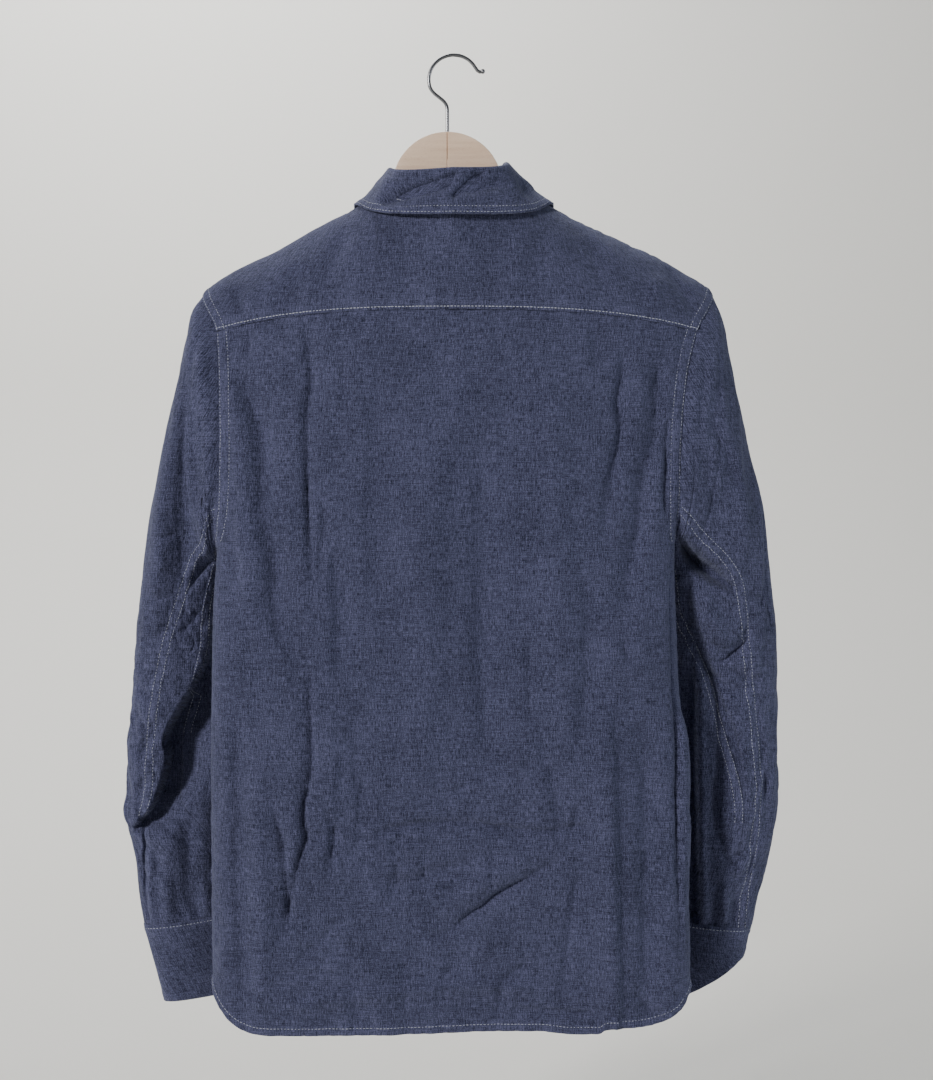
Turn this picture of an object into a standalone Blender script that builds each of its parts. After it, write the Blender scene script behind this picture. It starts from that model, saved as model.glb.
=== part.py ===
"""Chambray work shirt on a wooden hanger with a steel-wire hook.

Metres, +Z up.  The shirt's front faces -Y and its back +Y, so +X is the wearer's left.
The origin is the inner top of the hook, where the hanger rests on whatever holds it.

The body of the shirt is one form: body_point() gives the cloth's middle surface at a
distance x from the centre line and a drop below the hook.  Yoke, back, fronts, placket,
collar and the sleeves' first rings are all read from it, so their seams run together.
The sleeves are rings through two tables.  Each cloth piece is an open grid of points
with a Solidify modifier for its wall.
"""
import math
from collections import namedtuple

import bmesh
import bpy
import numpy as np
from mathutils import Vector

# ---------------------------------------------------------------- driving dimensions
CLOTH_WALL = 0.0012        # one layer of shirting with its felled turnings
BAND_WALL = 0.0020         # collar, stand and cuffs: two layers and interlining
TOUCH_GAP = 0.0003         # between layers that lie on each other
SEAM_GAP = 0.0004          # between panels that meet edge to edge
SLEEVE_GAP = 0.0008        # between the two pieces of a sleeve
PIT_GAP = 0.0018           # the same where they meet at the armpit, round a tight bend
ANGLED_GAP = 0.0010        # where two pieces meet at an angle, as at the neckline
ARM_GAP = 0.0015           # where the sleeve leaves the armhole
FOLD_GAP = 0.0010          # between the stand and the inner edge of the collar's fold

NECK_HALF = 0.070          # side neck point, out from the centre line
NECK_DROP = 0.126          # side neck point, below the hook
BACK_NECK_DIP = 0.022      # back neckline, below the side neck point
FRONT_NECK_DIP = 0.0795    # front neckline, below the side neck point
BACK_NECK_POWER = 2.0      # how square each neckline is: across, then down
FRONT_NECK_POWER = 2.5
NECK_ROUND = 0.6
TIP_DROP = 0.2195          # shoulder tip, below the hook
ARMPIT_DROP = 0.450
ARM_HALF_DEPTH = 0.027     # half depth of the armhole, front to back
BACK_SEAM_DROP = 0.2375    # yoke seam at the centre back
BACK_SEAM_FALL = 0.0165    # and how much lower it ends at the armholes
FRONT_SEAM_DROP = 0.262    # yoke seam at the front armhole
NECK_SHARE = 0.435         # share of the front neckline's dip that the yoke covers
HEM_DROP = 0.8825
HEM_CORNER_RISE = 0.037    # the hem turns up at the side seams
HEM_CORNER_START = 0.75    # share of the half width where it starts

PLACKET_EDGE = 0.016       # past the centre line
PLACKET_WIDTH = 0.034
FRONT_STOP = 0.040         # a column of the left front beside the placket
UNDERLAP_START = 0.034     # the right front starts to go under the left here
UNDERLAP_END = 0.018       # and lies fully under it from here on
STAND_HEIGHT = 0.0210      # at the sides; more at front and back
STAND_TILT = -0.0024       # more on the wearer's left, here less
STAND_EXTRA = 0.0100
STAND_LEAN = (0.80, 0.66)  # its top ring against its base at the sides, left and right
FOLD_ROLL = 0.0026         # radius of the fold between stand and collar
CUFF_LAP = 34.0            # degrees of the cuff's overlap

BUTTON_RADIUS = 0.0056
BUTTON_THICK = 0.0028
BUTTON_TAPER = 0.94        # its front's radius against its back's
BUTTON_PITCH = 0.083
BUTTON_FIRST = 0.052       # first front button, below the neckline
FRONT_BUTTONS = 6
BUTTON_SIDES = 16

WIRE_RADIUS = 0.0016
HOOK_RADIUS = 0.0228       # of the wire's middle
HOOK_CENTRE_DROP = HOOK_RADIUS - WIRE_RADIUS
STEM_X = 0.0058            # the stem and the glued joint are a little off the collar's centre
STEM_TOP_DROP = 0.0487     # straight below this
STEM_END_DROP = 0.0940     # inside the wood
HOLE_RADIUS = 0.0019       # of the stem's hole in the wood
HOLE_SIDES = 16
WOOD_HALF_THICK = 0.0055
WOOD_ROUND = 0.0045
WOOD_DOME = 0.0507         # radius of the dome below the hook
WOOD_DOME_DROP = 0.0700    # its top
WOOD_CLEAR = 0.0024        # shoulder line of the wood below the cloth's middle surface
WOOD_TIPS = (0.214, 0.222) # left and right ends of the arms, out from the centre line
WOOD_TIP_ROUND = 0.012     # length of an arm's rounded end

DENIM_BLUE = (0.050, 0.062, 0.122, 1.0)
BEECH = (0.62, 0.44, 0.30, 1.0)
STEEL = (0.62, 0.62, 0.63, 1.0)
BUTTON_BROWN = (0.10, 0.075, 0.06, 1.0)

# Half width of the body at each drop: the shoulder ridge down to the tip, the armhole
# seam down to the armpit, then the side seam.
Edge = namedtuple("Edge", "drop left right")
EDGES = (
    Edge(0.126, 0.070, 0.070),
    Edge(0.142, 0.0945, 0.0960),
    Edge(0.163, 0.133, 0.139),
    Edge(0.180, 0.163, 0.176),
    Edge(0.200, 0.203, 0.212),
    Edge(0.2195, 0.229, 0.2365),
    Edge(0.255, 0.2145, 0.2205),
    Edge(0.300, 0.2115, 0.2100),
    Edge(0.355, 0.2105, 0.2050),
    Edge(0.408, 0.2115, 0.2035),
    Edge(0.450, 0.2150, 0.2000),
    Edge(0.550, 0.2177, 0.2020),
    Edge(0.610, 0.2180, 0.2060),
    Edge(0.665, 0.2185, 0.2105),
    Edge(0.770, 0.2178, 0.2120),
    Edge(0.890, 0.2165, 0.2130),
)

# Section of the body at each drop: half depth, how far its sides bow towards the back,
# and the exponent of its rounded outline.
Section = namedtuple("Section", "drop depth bow fullness")
SECTIONS = (
    Section(0.126, 0.0490, 0.000, 1.50),
    Section(0.150, 0.0495, 0.000, 1.50),
    Section(0.220, 0.0490, 0.000, 1.80),
    Section(0.300, 0.0470, 0.002, 2.30),
    Section(0.450, 0.0460, 0.009, 2.90),
    Section(0.560, 0.0460, 0.020, 3.00),
    Section(0.890, 0.0460, 0.022, 3.00),
)

# The largest folds, as soft troughs: a path of points with half width and depth.
Fold = namedtuple("Fold", "x drop half_width depth")
BACK_FOLDS = (
    (Fold(0.190, 0.300, 0.010, 0.000), Fold(0.180, 0.385, 0.013, 0.006),
     Fold(0.165, 0.445, 0.014, 0.009), Fold(0.157, 0.520, 0.014, 0.006),
     Fold(0.150, 0.640, 0.014, 0.000)),
    (Fold(0.132, 0.250, 0.010, 0.002), Fold(0.131, 0.420, 0.011, 0.005),
     Fold(0.128, 0.600, 0.012, 0.006), Fold(0.134, 0.700, 0.012, 0.006),
     Fold(0.150, 0.800, 0.012, 0.000)),
    (Fold(-0.120, 0.270, 0.014, 0.000), Fold(-0.135, 0.400, 0.014, 0.006),
     Fold(-0.128, 0.520, 0.015, 0.005), Fold(-0.130, 0.700, 0.015, 0.004),
     Fold(-0.125, 0.860, 0.015, 0.003)),
    (Fold(-0.178, 0.300, 0.010, 0.000), Fold(-0.165, 0.430, 0.012, 0.006),
     Fold(-0.155, 0.540, 0.012, 0.004), Fold(-0.160, 0.760, 0.012, 0.000)),
    (Fold(-0.016, 0.420, 0.020, 0.000), Fold(-0.018, 0.560, 0.020, 0.004),
     Fold(-0.022, 0.760, 0.022, 0.005), Fold(-0.060, 0.870, 0.022, 0.002)),
)
FRONT_FOLDS = (
    (Fold(0.105, 0.270, 0.012, 0.002), Fold(0.112, 0.480, 0.015, 0.007),
     Fold(0.104, 0.700, 0.015, 0.006), Fold(0.110, 0.860, 0.016, 0.004)),
    (Fold(0.170, 0.330, 0.010, 0.000), Fold(0.158, 0.470, 0.014, 0.008),
     Fold(0.164, 0.640, 0.014, 0.004), Fold(0.160, 0.800, 0.014, 0.000)),
    (Fold(-0.098, 0.280, 0.012, 0.001), Fold(-0.092, 0.500, 0.015, 0.006),
     Fold(-0.102, 0.720, 0.016, 0.007), Fold(-0.096, 0.870, 0.016, 0.004)),
    (Fold(-0.172, 0.320, 0.010, 0.000), Fold(-0.156, 0.450, 0.013, 0.008),
     Fold(-0.150, 0.600, 0.014, 0.004), Fold(-0.156, 0.760, 0.014, 0.000)),
)

# Sleeve rings.  Each lies in a plane through its outer and its inner point, along Y.
# waist draws the ring's front and back in towards the body, sag lets them down.
# back_seam and under_seam are the sleeve's two seams, in degrees from the outer point,
# by way of the back.
Ring = namedtuple("Ring", "outer outer_drop inner inner_drop centre_y half_depth "
                  "fullness waist sag back_seam under_seam")
LEFT_RINGS = (
    Ring(0.2290, 0.2195, 0.2150, 0.450, 0.003, 0.027, 2.0, 0.0095, 0, 133.2, 180),
    Ring(0.2405, 0.238, 0.2185, 0.4535, 0.001, 0.033, 2.0, 0.0055, 0, 131, 172),
    Ring(0.2500, 0.280, 0.2195, 0.4585, -0.004, 0.036, 2.1, 0.0020, 0, 128, 165),
    Ring(0.2610, 0.326, 0.2185, 0.465, -0.010, 0.038, 2.1, 0, 0, 124, 157),
    Ring(0.2710, 0.370, 0.2180, 0.473, -0.017, 0.038, 2.2, 0, 0, 116, 147),
    Ring(0.2820, 0.424, 0.2155, 0.485, -0.024, 0.038, 2.2, 0, 0, 99, 134),
    Ring(0.2925, 0.492, 0.2110, 0.512, -0.033, 0.037, 2.2, 0, 0, 84, 116),
    Ring(0.2975, 0.538, 0.2050, 0.548, -0.038, 0.036, 2.2, 0, 0, 68, 107),
    Ring(0.3015, 0.593, 0.2000, 0.592, -0.041, 0.035, 2.2, 0, 0, 56, 92),
    Ring(0.3055, 0.640, 0.1960, 0.636, -0.043, 0.034, 2.2, 0, 0, 52, 84),
    Ring(0.3060, 0.678, 0.1940, 0.672, -0.044, 0.034, 2.2, 0, 0, 50, 84),
    Ring(0.3095, 0.696, 0.1930, 0.693, -0.044, 0.034, 2.2, 0, 0, 47, 92),
    Ring(0.3060, 0.713, 0.1920, 0.712, -0.044, 0.033, 2.2, 0, 0, 42, 105),
    Ring(0.2985, 0.740, 0.1920, 0.738, -0.044, 0.031, 2.2, 0, 0, 36, 120),
    Ring(0.2955, 0.775, 0.1920, 0.770, -0.045, 0.029, 2.2, 0, 0, 32, 130),
    Ring(0.2900, 0.806, 0.1920, 0.794, -0.046, 0.027, 2.3, 0, 0, 30, 135),
)
RIGHT_RINGS = (
    Ring(0.2365, 0.2195, 0.2000, 0.450, 0.003, 0.027, 2.0, 0.0140, 0, 133.2, 180),
    Ring(0.2450, 0.240, 0.2040, 0.454, 0.001, 0.033, 2.0, 0.0060, 0, 128, 172),
    Ring(0.2535, 0.277, 0.2070, 0.459, -0.004, 0.036, 2.1, 0.0020, 0, 122, 165),
    Ring(0.2635, 0.326, 0.2085, 0.465, -0.010, 0.038, 2.1, 0, 0, 114, 158),
    Ring(0.2710, 0.365, 0.2090, 0.472, -0.017, 0.038, 2.2, 0, 0, 104, 150),
    Ring(0.2850, 0.413, 0.2090, 0.486, -0.024, 0.038, 2.2, 0, 0, 90, 142),
    Ring(0.2935, 0.481, 0.2055, 0.512, -0.033, 0.037, 2.2, 0, 0, 67, 134),
    Ring(0.2985, 0.526, 0.2000, 0.548, -0.038, 0.036, 2.2, 0, 0, 65, 118),
    Ring(0.3005, 0.575, 0.1975, 0.590, -0.041, 0.035, 2.2, 0, 0, 66, 100),
    Ring(0.3015, 0.622, 0.1955, 0.632, -0.043, 0.034, 2.2, 0, 0, 64, 94),
    Ring(0.3032, 0.668, 0.1940, 0.670, -0.044, 0.034, 2.2, 0, 0, 60, 94),
    Ring(0.3005, 0.696, 0.1930, 0.697, -0.044, 0.034, 2.2, 0, 0, 56, 96),
    Ring(0.2965, 0.722, 0.1920, 0.720, -0.044, 0.033, 2.2, 0, 0, 54, 102),
    Ring(0.2900, 0.751, 0.1920, 0.746, -0.044, 0.031, 2.2, 0, 0, 54, 110),
    Ring(0.2830, 0.778, 0.1920, 0.774, -0.045, 0.029, 2.2, 0, 0, 54, 116),
    Ring(0.2775, 0.806, 0.1920, 0.800, -0.046, 0.027, 2.3, 0, 0, 54, 120),
)
LEFT_CUFF_END = Ring(0.2710, 0.8750, 0.1840, 0.8640, -0.046, 0.025, 2.4, 0, 0, 30, 135)
RIGHT_CUFF_END = Ring(0.2720, 0.8300, 0.1860, 0.8820, -0.046, 0.025, 2.3, 0, 0.013, 54, 120)

FOLD_SPREAD = 0.7          # a sleeve's folds run out towards its two edges

# The deep elbow fold of the left sleeve and the crescent below the right armhole.
LEFT_SLEEVE_FOLDS = (
    (Fold(0.222, 0.520, 0.008, 0.002), Fold(0.231, 0.565, 0.012, 0.010),
     Fold(0.244, 0.605, 0.015, 0.015), Fold(0.258, 0.645, 0.015, 0.015),
     Fold(0.271, 0.685, 0.014, 0.012), Fold(0.284, 0.722, 0.010, 0.006)),
    (Fold(0.243, 0.330, 0.008, 0.000), Fold(0.245, 0.400, 0.010, 0.006),
     Fold(0.240, 0.450, 0.009, 0.003)),
)
RIGHT_SLEEVE_FOLDS = (
    (Fold(0.216, 0.466, 0.008, 0.004), Fold(0.235, 0.474, 0.010, 0.008),
     Fold(0.257, 0.495, 0.010, 0.004)),
    (Fold(0.212, 0.500, 0.008, 0.003), Fold(0.222, 0.550, 0.010, 0.007),
     Fold(0.236, 0.610, 0.011, 0.005), Fold(0.256, 0.670, 0.010, 0.000)),
)

# The collar's outer edge: share of the way round from the centre back (0) to its front
# tip (1), and the place there on the wearer's left; the right mirrors it.
Leaf = namedtuple("Leaf", "share x y drop")
COLLAR_EDGE = (
    Leaf(0.000, 0.0000, 0.0570, 0.1555),
    Leaf(0.120, 0.0300, 0.0530, 0.1550),
    Leaf(0.230, 0.0570, 0.0440, 0.1525),
    Leaf(0.335, 0.0785, 0.0270, 0.1460),
    Leaf(0.440, 0.0895, 0.0010, 0.1385),
    Leaf(0.535, 0.0925, -0.0210, 0.1435),
    Leaf(0.675, 0.0910, -0.0415, 0.1700),
    Leaf(0.850, 0.0765, -0.0515, 0.2120),
    Leaf(1.000, 0.0600, -0.0530, 0.2440),
)
COLLAR_LIFT = 0.0042       # middle of the collar off the middle of the cloth below it
COLLAR_OPENING = 0.005     # half gap between the collar's front edges

# Wood of the hanger: its underside at distances out from the joint.
Wood = namedtuple("Wood", "out under_drop")
WOOD_UNDER = (
    Wood(0.000, 0.1490),
    Wood(0.035, 0.1535),
    Wood(0.070, 0.1655),
    Wood(0.110, 0.1830),
    Wood(0.150, 0.2020),
    Wood(0.185, 0.2190),
    Wood(0.230, 0.2400),
)
WOOD_STEP = 0.006          # between the points of its outline
WOOD_NECK_RISE = 0.012     # how much the shoulder line rises if carried on to the centre line

HOOK_FROM = -14.0          # degrees round the hook's circle, from +X over the top
HOOK_TO = 150.0
HOOK_BEND = 0.0105         # handles of the bend between stem and circle
HOOK_TIP = ((-0.0022, -0.0030), (-0.0044, -0.0043), (-0.0068, -0.0036))
WELD = 0.00001             # points this close are one

# How many strips each stretch of a panel has.
YOKE_STRIPS = 4
ARM_STRIPS_TO_SEAM = 4
ARM_STRIPS_TO_PIT = 3
FRONT_ARM_STRIPS = 7
SIDE_STRIPS = 11
NECK_STRIPS = 8
SHOULDER_STRIPS = 7
CUFF_COLUMNS = 26
DENSE = 60                 # points that measure a row before it is divided evenly
SLOPE_STEP = 0.0005        # how far apart two places are read for a slope
CLEAR_ROUNDS = 6           # steps that bring a point clear of the body's form

LEFT = 1
RIGHT = -1
BACK = 1
FRONT = -1


# ---------------------------------------------------------------- reading the tables
def smooth(value, keys, values):
    """Read a table on a smooth curve that never overshoots its rows."""
    keys = np.asarray(keys, float)
    values = np.asarray(values, float)
    step = np.diff(keys)
    slope = np.diff(values) / step
    tangent = np.concatenate(([slope[0]], np.zeros(len(step) - 1), [slope[-1]]))
    same = slope[:-1] * slope[1:] > 0
    together = 2 * slope[:-1] * slope[1:]
    tangent[1:-1][same] = together[same] / (slope[:-1] + slope[1:])[same]
    value = np.asarray(value, float)
    row = np.clip(np.searchsorted(keys, value) - 1, 0, len(step) - 1)
    t = np.clip((value - keys[row]) / step[row], 0, 1)
    start = (1 + 2 * t) * (1 - t) ** 2 * values[row]
    end = t * t * (3 - 2 * t) * values[row + 1]
    leave = t * (1 - t) ** 2 * step[row] * tangent[row]
    arrive = t * t * (t - 1) * step[row] * tangent[row + 1]
    return start + end + leave + arrive


def column(table, name):
    return [getattr(row, name) for row in table]


def unit(vectors):
    return vectors / np.linalg.norm(vectors, axis=-1, keepdims=True)


def edge_x(drop, side):
    name = "left" if side == LEFT else "right"
    return smooth(drop, column(EDGES, "drop"), column(EDGES, name))


def section(drop, name):
    return smooth(drop, column(SECTIONS, "drop"), column(SECTIONS, name))


def troughs(x, drop, folds):
    """Depth of all the folds at a place: soft troughs along their paths."""
    depth = np.zeros(np.broadcast(x, drop).shape)
    for path in folds:
        nearest = np.full(depth.shape, np.inf)
        here = np.zeros(depth.shape)
        for a, b in zip(path, path[1:]):
            run_x = b.x - a.x
            run_drop = b.drop - a.drop
            along = ((x - a.x) * run_x + (drop - a.drop) * run_drop) / (run_x ** 2 + run_drop ** 2)
            along = np.clip(along, 0, 1)
            away = np.hypot(x - a.x - along * run_x, drop - a.drop - along * run_drop)
            half_width = a.half_width + along * (b.half_width - a.half_width)
            deep = a.depth + along * (b.depth - a.depth)
            closer = away < nearest
            here = np.where(closer, deep * np.exp(-(away / half_width) ** 2), here)
            nearest = np.minimum(nearest, away)
        depth = depth + here
    return depth


# ---------------------------------------------------------------- the body's form
ARM_MIDDLE = (TIP_DROP + ARMPIT_DROP) / 2
ARM_HALF_DROP = (ARMPIT_DROP - TIP_DROP) / 2


def arm_opening(drop):
    """Half depth of the armhole at a drop, nothing above the tip and below the pit."""
    along = np.clip((np.asarray(drop, float) - ARM_MIDDLE) / ARM_HALF_DROP, -1, 1)
    return ARM_HALF_DEPTH * np.sqrt(1 - along ** 2)


def half_width(drop, side):
    """Where the body's outline would close, past the armhole seam if there is one."""
    fullness = section(drop, "fullness")
    share = (1 - (arm_opening(drop) / section(drop, "depth")) ** fullness) ** (1 / fullness)
    return edge_x(drop, side) / share


def body_point(x, drop, face):
    """Middle surface of the cloth, back (face 1) or front (face -1)."""
    x = np.asarray(x, float)
    drop = np.asarray(drop, float)
    reach_x = np.where(x >= 0, half_width(drop, LEFT), half_width(drop, RIGHT))
    out = np.clip(np.abs(x) / reach_x, 0, 1)
    fullness = section(drop, "fullness")
    rise = (1 - out ** fullness) ** (1 / fullness)
    fold = troughs(x, drop, BACK_FOLDS if face == BACK else FRONT_FOLDS)
    still = rise * rise * (3 - 2 * rise)
    y = section(drop, "bow") * out ** 2 + face * (section(drop, "depth") * rise - fold * still)
    return np.stack([x, y, -drop], axis=-1)


def body_normal(x, drop, face):
    """Outward direction of the body's form, from its own slopes."""
    along_x = body_point(x + SLOPE_STEP, drop, face) - body_point(x - SLOPE_STEP, drop, face)
    along_z = body_point(x, drop - SLOPE_STEP, face) - body_point(x, drop + SLOPE_STEP, face)
    return unit(np.cross(along_z, along_x) * face)


def body_level(points):
    """1 on the body's form, more outside it."""
    x, y, drop = points[..., 0], points[..., 1], -points[..., 2]
    reach_x = np.where(x >= 0, half_width(drop, LEFT), half_width(drop, RIGHT))
    out = np.abs(x) / reach_x
    fullness = section(drop, "fullness")
    off_bow = np.abs(y - section(drop, "bow") * np.clip(out, 0, 1) ** 2)
    return out ** fullness + (off_bow / section(drop, "depth")) ** fullness


def stand_clear(points, lift):
    """Move points out from the body's form until they are clear of it by the lift."""
    for _ in range(CLEAR_ROUNDS):
        level = body_level(points)
        slope = np.stack([(body_level(points + move) - body_level(points - move)) / (2 * SLOPE_STEP)
                          for move in SLOPE_STEP * np.eye(3)], axis=-1)
        steep = np.linalg.norm(slope, axis=-1)
        short = np.clip(lift - (level - 1) / steep, 0, lift)
        points = points + slope / steep[..., None] * short[..., None]
    return points


def ridge_drop(x, side):
    drops = np.linspace(NECK_DROP, TIP_DROP, DENSE)
    return np.interp(x, edge_x(drops, side), drops)


def back_neck_drop(x):
    across = np.clip(np.abs(x) / NECK_HALF, 0, 1) ** BACK_NECK_POWER
    return NECK_DROP + BACK_NECK_DIP * (1 - across) ** NECK_ROUND


def front_neck_drop(x):
    across = np.clip(np.abs(x) / NECK_HALF, 0, 1) ** FRONT_NECK_POWER
    return NECK_DROP + FRONT_NECK_DIP * (1 - across) ** NECK_ROUND


def front_neck_x(drop):
    """The front neckline read the other way, from a drop to its distance out."""
    down = np.clip((drop - NECK_DROP) / FRONT_NECK_DIP, 0, 1) ** (1 / NECK_ROUND)
    return NECK_HALF * (1 - down) ** (1 / FRONT_NECK_POWER)


YOKE_CORNER_DROP = NECK_DROP + NECK_SHARE * FRONT_NECK_DIP
YOKE_CORNER_X = float(front_neck_x(YOKE_CORNER_DROP))


def back_seam_drop(share):
    return BACK_SEAM_DROP + BACK_SEAM_FALL * np.abs(share) ** 3


def hem_drop(share):
    turn = np.clip((np.abs(share) - HEM_CORNER_START) / (1 - HEM_CORNER_START), 0, 1)
    return HEM_DROP - HEM_CORNER_RISE * turn ** 3


def front_top_drop(x, share_edge):
    """Top of a front: the neckline to the yoke's corner, then the front yoke seam."""
    out = np.clip((np.abs(x) - YOKE_CORNER_X) / (share_edge - YOKE_CORNER_X), 0, 1)
    seam = YOKE_CORNER_DROP + (FRONT_SEAM_DROP - YOKE_CORNER_DROP) * out
    return np.where(np.abs(x) < YOKE_CORNER_X, front_neck_drop(x), seam)


# ---------------------------------------------------------------- the armhole's division
def arm_angle(drop):
    return math.degrees(math.acos((ARM_MIDDLE - drop) / ARM_HALF_DROP))


def arm_drop(degrees):
    return ARM_MIDDLE - ARM_HALF_DROP * np.cos(np.radians(degrees))


BACK_SEAM_ANGLE = arm_angle(float(back_seam_drop(1)))
FRONT_SEAM_ANGLE = 360 - arm_angle(FRONT_SEAM_DROP)
SLEEVE_SEAM_ANGLE = LEFT_RINGS[0].back_seam

YOKE_BACK_ANGLES = np.linspace(0, BACK_SEAM_ANGLE, YOKE_STRIPS + 1)
BACK_ANGLES = np.concatenate([
    np.linspace(BACK_SEAM_ANGLE, SLEEVE_SEAM_ANGLE, ARM_STRIPS_TO_SEAM + 1),
    np.linspace(SLEEVE_SEAM_ANGLE, 180, ARM_STRIPS_TO_PIT + 1)[1:]])
FRONT_ANGLES = np.linspace(180, FRONT_SEAM_ANGLE, FRONT_ARM_STRIPS + 1)
YOKE_FRONT_ANGLES = np.linspace(FRONT_SEAM_ANGLE, 360, YOKE_STRIPS + 1)
SIDE_DROPS = np.linspace(ARMPIT_DROP, float(hem_drop(1)), SIDE_STRIPS + 1)


def edge_shares(angles, top):
    """Rows of a panel as shares of its edge, through the armhole's and the side's rows."""
    drops = np.concatenate([arm_drop(angles), SIDE_DROPS[1:]])
    return (drops - top) / (float(hem_drop(1)) - top)


BACK_ROWS = edge_shares(BACK_ANGLES, float(back_seam_drop(1)))
FRONT_ROWS = edge_shares(FRONT_ANGLES[::-1], FRONT_SEAM_DROP)


# ---------------------------------------------------------------- panels from the form
def even_row(x, drop, face, count, trim_start=0.0, trim_end=0.0):
    """Divide a row evenly along the cloth, and give the divisions' x and drop."""
    points = body_point(x, drop, face)
    length = np.concatenate([[0], np.cumsum(np.linalg.norm(np.diff(points, axis=0), axis=1))])
    at = np.linspace(trim_start, length[-1] - trim_end, count + 1)
    return np.interp(at, length, x), np.interp(at, length, drop)


def stretch(start, end, power):
    """Places between two distances, closer together towards the end."""
    t = np.linspace(0, 1, DENSE)
    return end - (end - start) * (1 - t) ** power


def back_half_row(side, row, trim=0.0):
    """One row of the back from the centre block's edge to the armhole or side seam."""
    top_edge = float(back_seam_drop(1))
    low_edge = float(hem_drop(1))
    reach = float(edge_x(top_edge + row * (low_edge - top_edge), side))
    x = stretch(NECK_HALF, reach, 3)
    top = back_seam_drop(x / reach)
    drop = top + row * (hem_drop(x / reach) - top)
    return even_row(side * x, drop, BACK, SHOULDER_STRIPS, trim_end=trim)


def back_centre_row(row):
    """The middle stretch of one row of the back."""
    top_edge = float(back_seam_drop(1))
    low_edge = float(hem_drop(1))
    x = NECK_HALF * np.sin(np.linspace(math.pi / 2, -math.pi / 2, NECK_STRIPS + 1))
    edge_drop = top_edge + row * (low_edge - top_edge)
    reach = np.where(x >= 0, edge_x(edge_drop, LEFT), edge_x(edge_drop, RIGHT))
    top = back_seam_drop(x / reach)
    return x, top + row * (hem_drop(x / reach) - top)


def back_row(row, trim=0.0):
    """A whole row of the back, from the wearer's left edge to the right edge."""
    left_x, left_drop = back_half_row(LEFT, row, trim)
    right_x, right_drop = back_half_row(RIGHT, row, trim)
    mid_x, mid_drop = back_centre_row(row)
    x = np.concatenate([left_x[::-1], mid_x[1:-1], right_x])
    drop = np.concatenate([left_drop[::-1], mid_drop[1:-1], right_drop])
    return x, drop


def front_row(side, row, trim=0.0):
    """A row of one front, from its armhole or side seam to its centre edge."""
    low_edge = float(hem_drop(1))
    reach = float(edge_x(FRONT_SEAM_DROP + row * (low_edge - FRONT_SEAM_DROP), side))
    x = stretch(YOKE_CORNER_X, reach, 3)
    top = front_top_drop(x, reach)
    drop = top + row * (hem_drop(x / reach) - top)
    outer_x, outer_drop = even_row(side * x, drop, FRONT, SHOULDER_STRIPS, trim_end=trim)
    stops = (FRONT_STOP, PLACKET_WIDTH - PLACKET_EDGE) if side == LEFT else (UNDERLAP_START, UNDERLAP_END)
    inner = np.array([*stops, 0.0, -PLACKET_EDGE])
    inner_top = front_neck_drop(inner)
    inner_drop = inner_top + row * (hem_drop(inner / reach) - inner_top)
    return (np.concatenate([outer_x[::-1], side * inner]),
            np.concatenate([outer_drop[::-1], inner_drop]))


def underlap(x, side, amount):
    """How far inward the right side's pieces pass under the left's, at the centre."""
    if side == LEFT:
        return np.zeros(np.shape(x))
    t = np.clip((x + UNDERLAP_START) / (UNDERLAP_START - UNDERLAP_END), 0, 1)
    return amount * t * t * (3 - 2 * t)


def back_grid():
    rows = []
    for row in BACK_ROWS:
        x, drop = back_row(row, SEAM_GAP / 2)
        rows.append(body_point(x, drop + (SEAM_GAP if row == BACK_ROWS[0] else 0), BACK))
    return np.array(rows)


def front_grid(side):
    rows = []
    for row in FRONT_ROWS:
        x, drop = front_row(side, row, SEAM_GAP / 2)
        points = body_point(x, drop + (SEAM_GAP if row == FRONT_ROWS[0] else 0), FRONT)
        points[:, 1] += underlap(x, side, CLOTH_WALL + TOUCH_GAP)
        rows.append(points)
    return np.array(rows)


def yoke_columns(side):
    """Back seam, ridge and front seam of one shoulder's columns, neck to armhole."""
    seam_x, seam_drop = back_half_row(side, 0.0)
    front_x, front_drop = front_row(side, 0.0)
    front_x = front_x[:SHOULDER_STRIPS + 1][::-1]
    front_drop = front_drop[:SHOULDER_STRIPS + 1][::-1]
    tip = float(edge_x(TIP_DROP, side))
    top_x = np.linspace(NECK_HALF, tip, SHOULDER_STRIPS + 1)
    return seam_x, seam_drop, side * top_x, ridge_drop(top_x, side), front_x, front_drop


def yoke_shoulder(side):
    """Rows over one shoulder, back seam to front seam, each from neck to armhole."""
    seam_x, seam_drop, top_x, top_drop, front_x, front_drop = yoke_columns(side)
    out = np.linspace(0, 1, SHOULDER_STRIPS + 1)
    rows = []
    for face, low_x, low_drop, angles in ((BACK, seam_x, seam_drop, YOKE_BACK_ANGLES[::-1]),
                                          (FRONT, front_x, front_drop, 360 - YOKE_FRONT_ANGLES[::-1])):
        low_angle = angles.max()
        for angle in angles:
            if face == FRONT and angle == 0:
                continue
            fall = (1 - math.cos(math.radians(angle))) / (1 - math.cos(math.radians(low_angle)))
            drop = top_drop + fall * (low_drop - top_drop)
            x = top_x + fall * (low_x - top_x)
            x = x + (side * edge_x(drop[-1], side) - x[-1]) * out ** 2
            if face == FRONT:
                x = x + (side * front_neck_x(drop[0]) - x[0]) * (1 - out) ** 2
            if angle == low_angle:
                drop = drop - SEAM_GAP
            points = body_point(x, drop, face)
            points[-1] += unit(points[-2] - points[-1]) * SEAM_GAP / 2
            rows.append(points)
    return np.array(rows)


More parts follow.
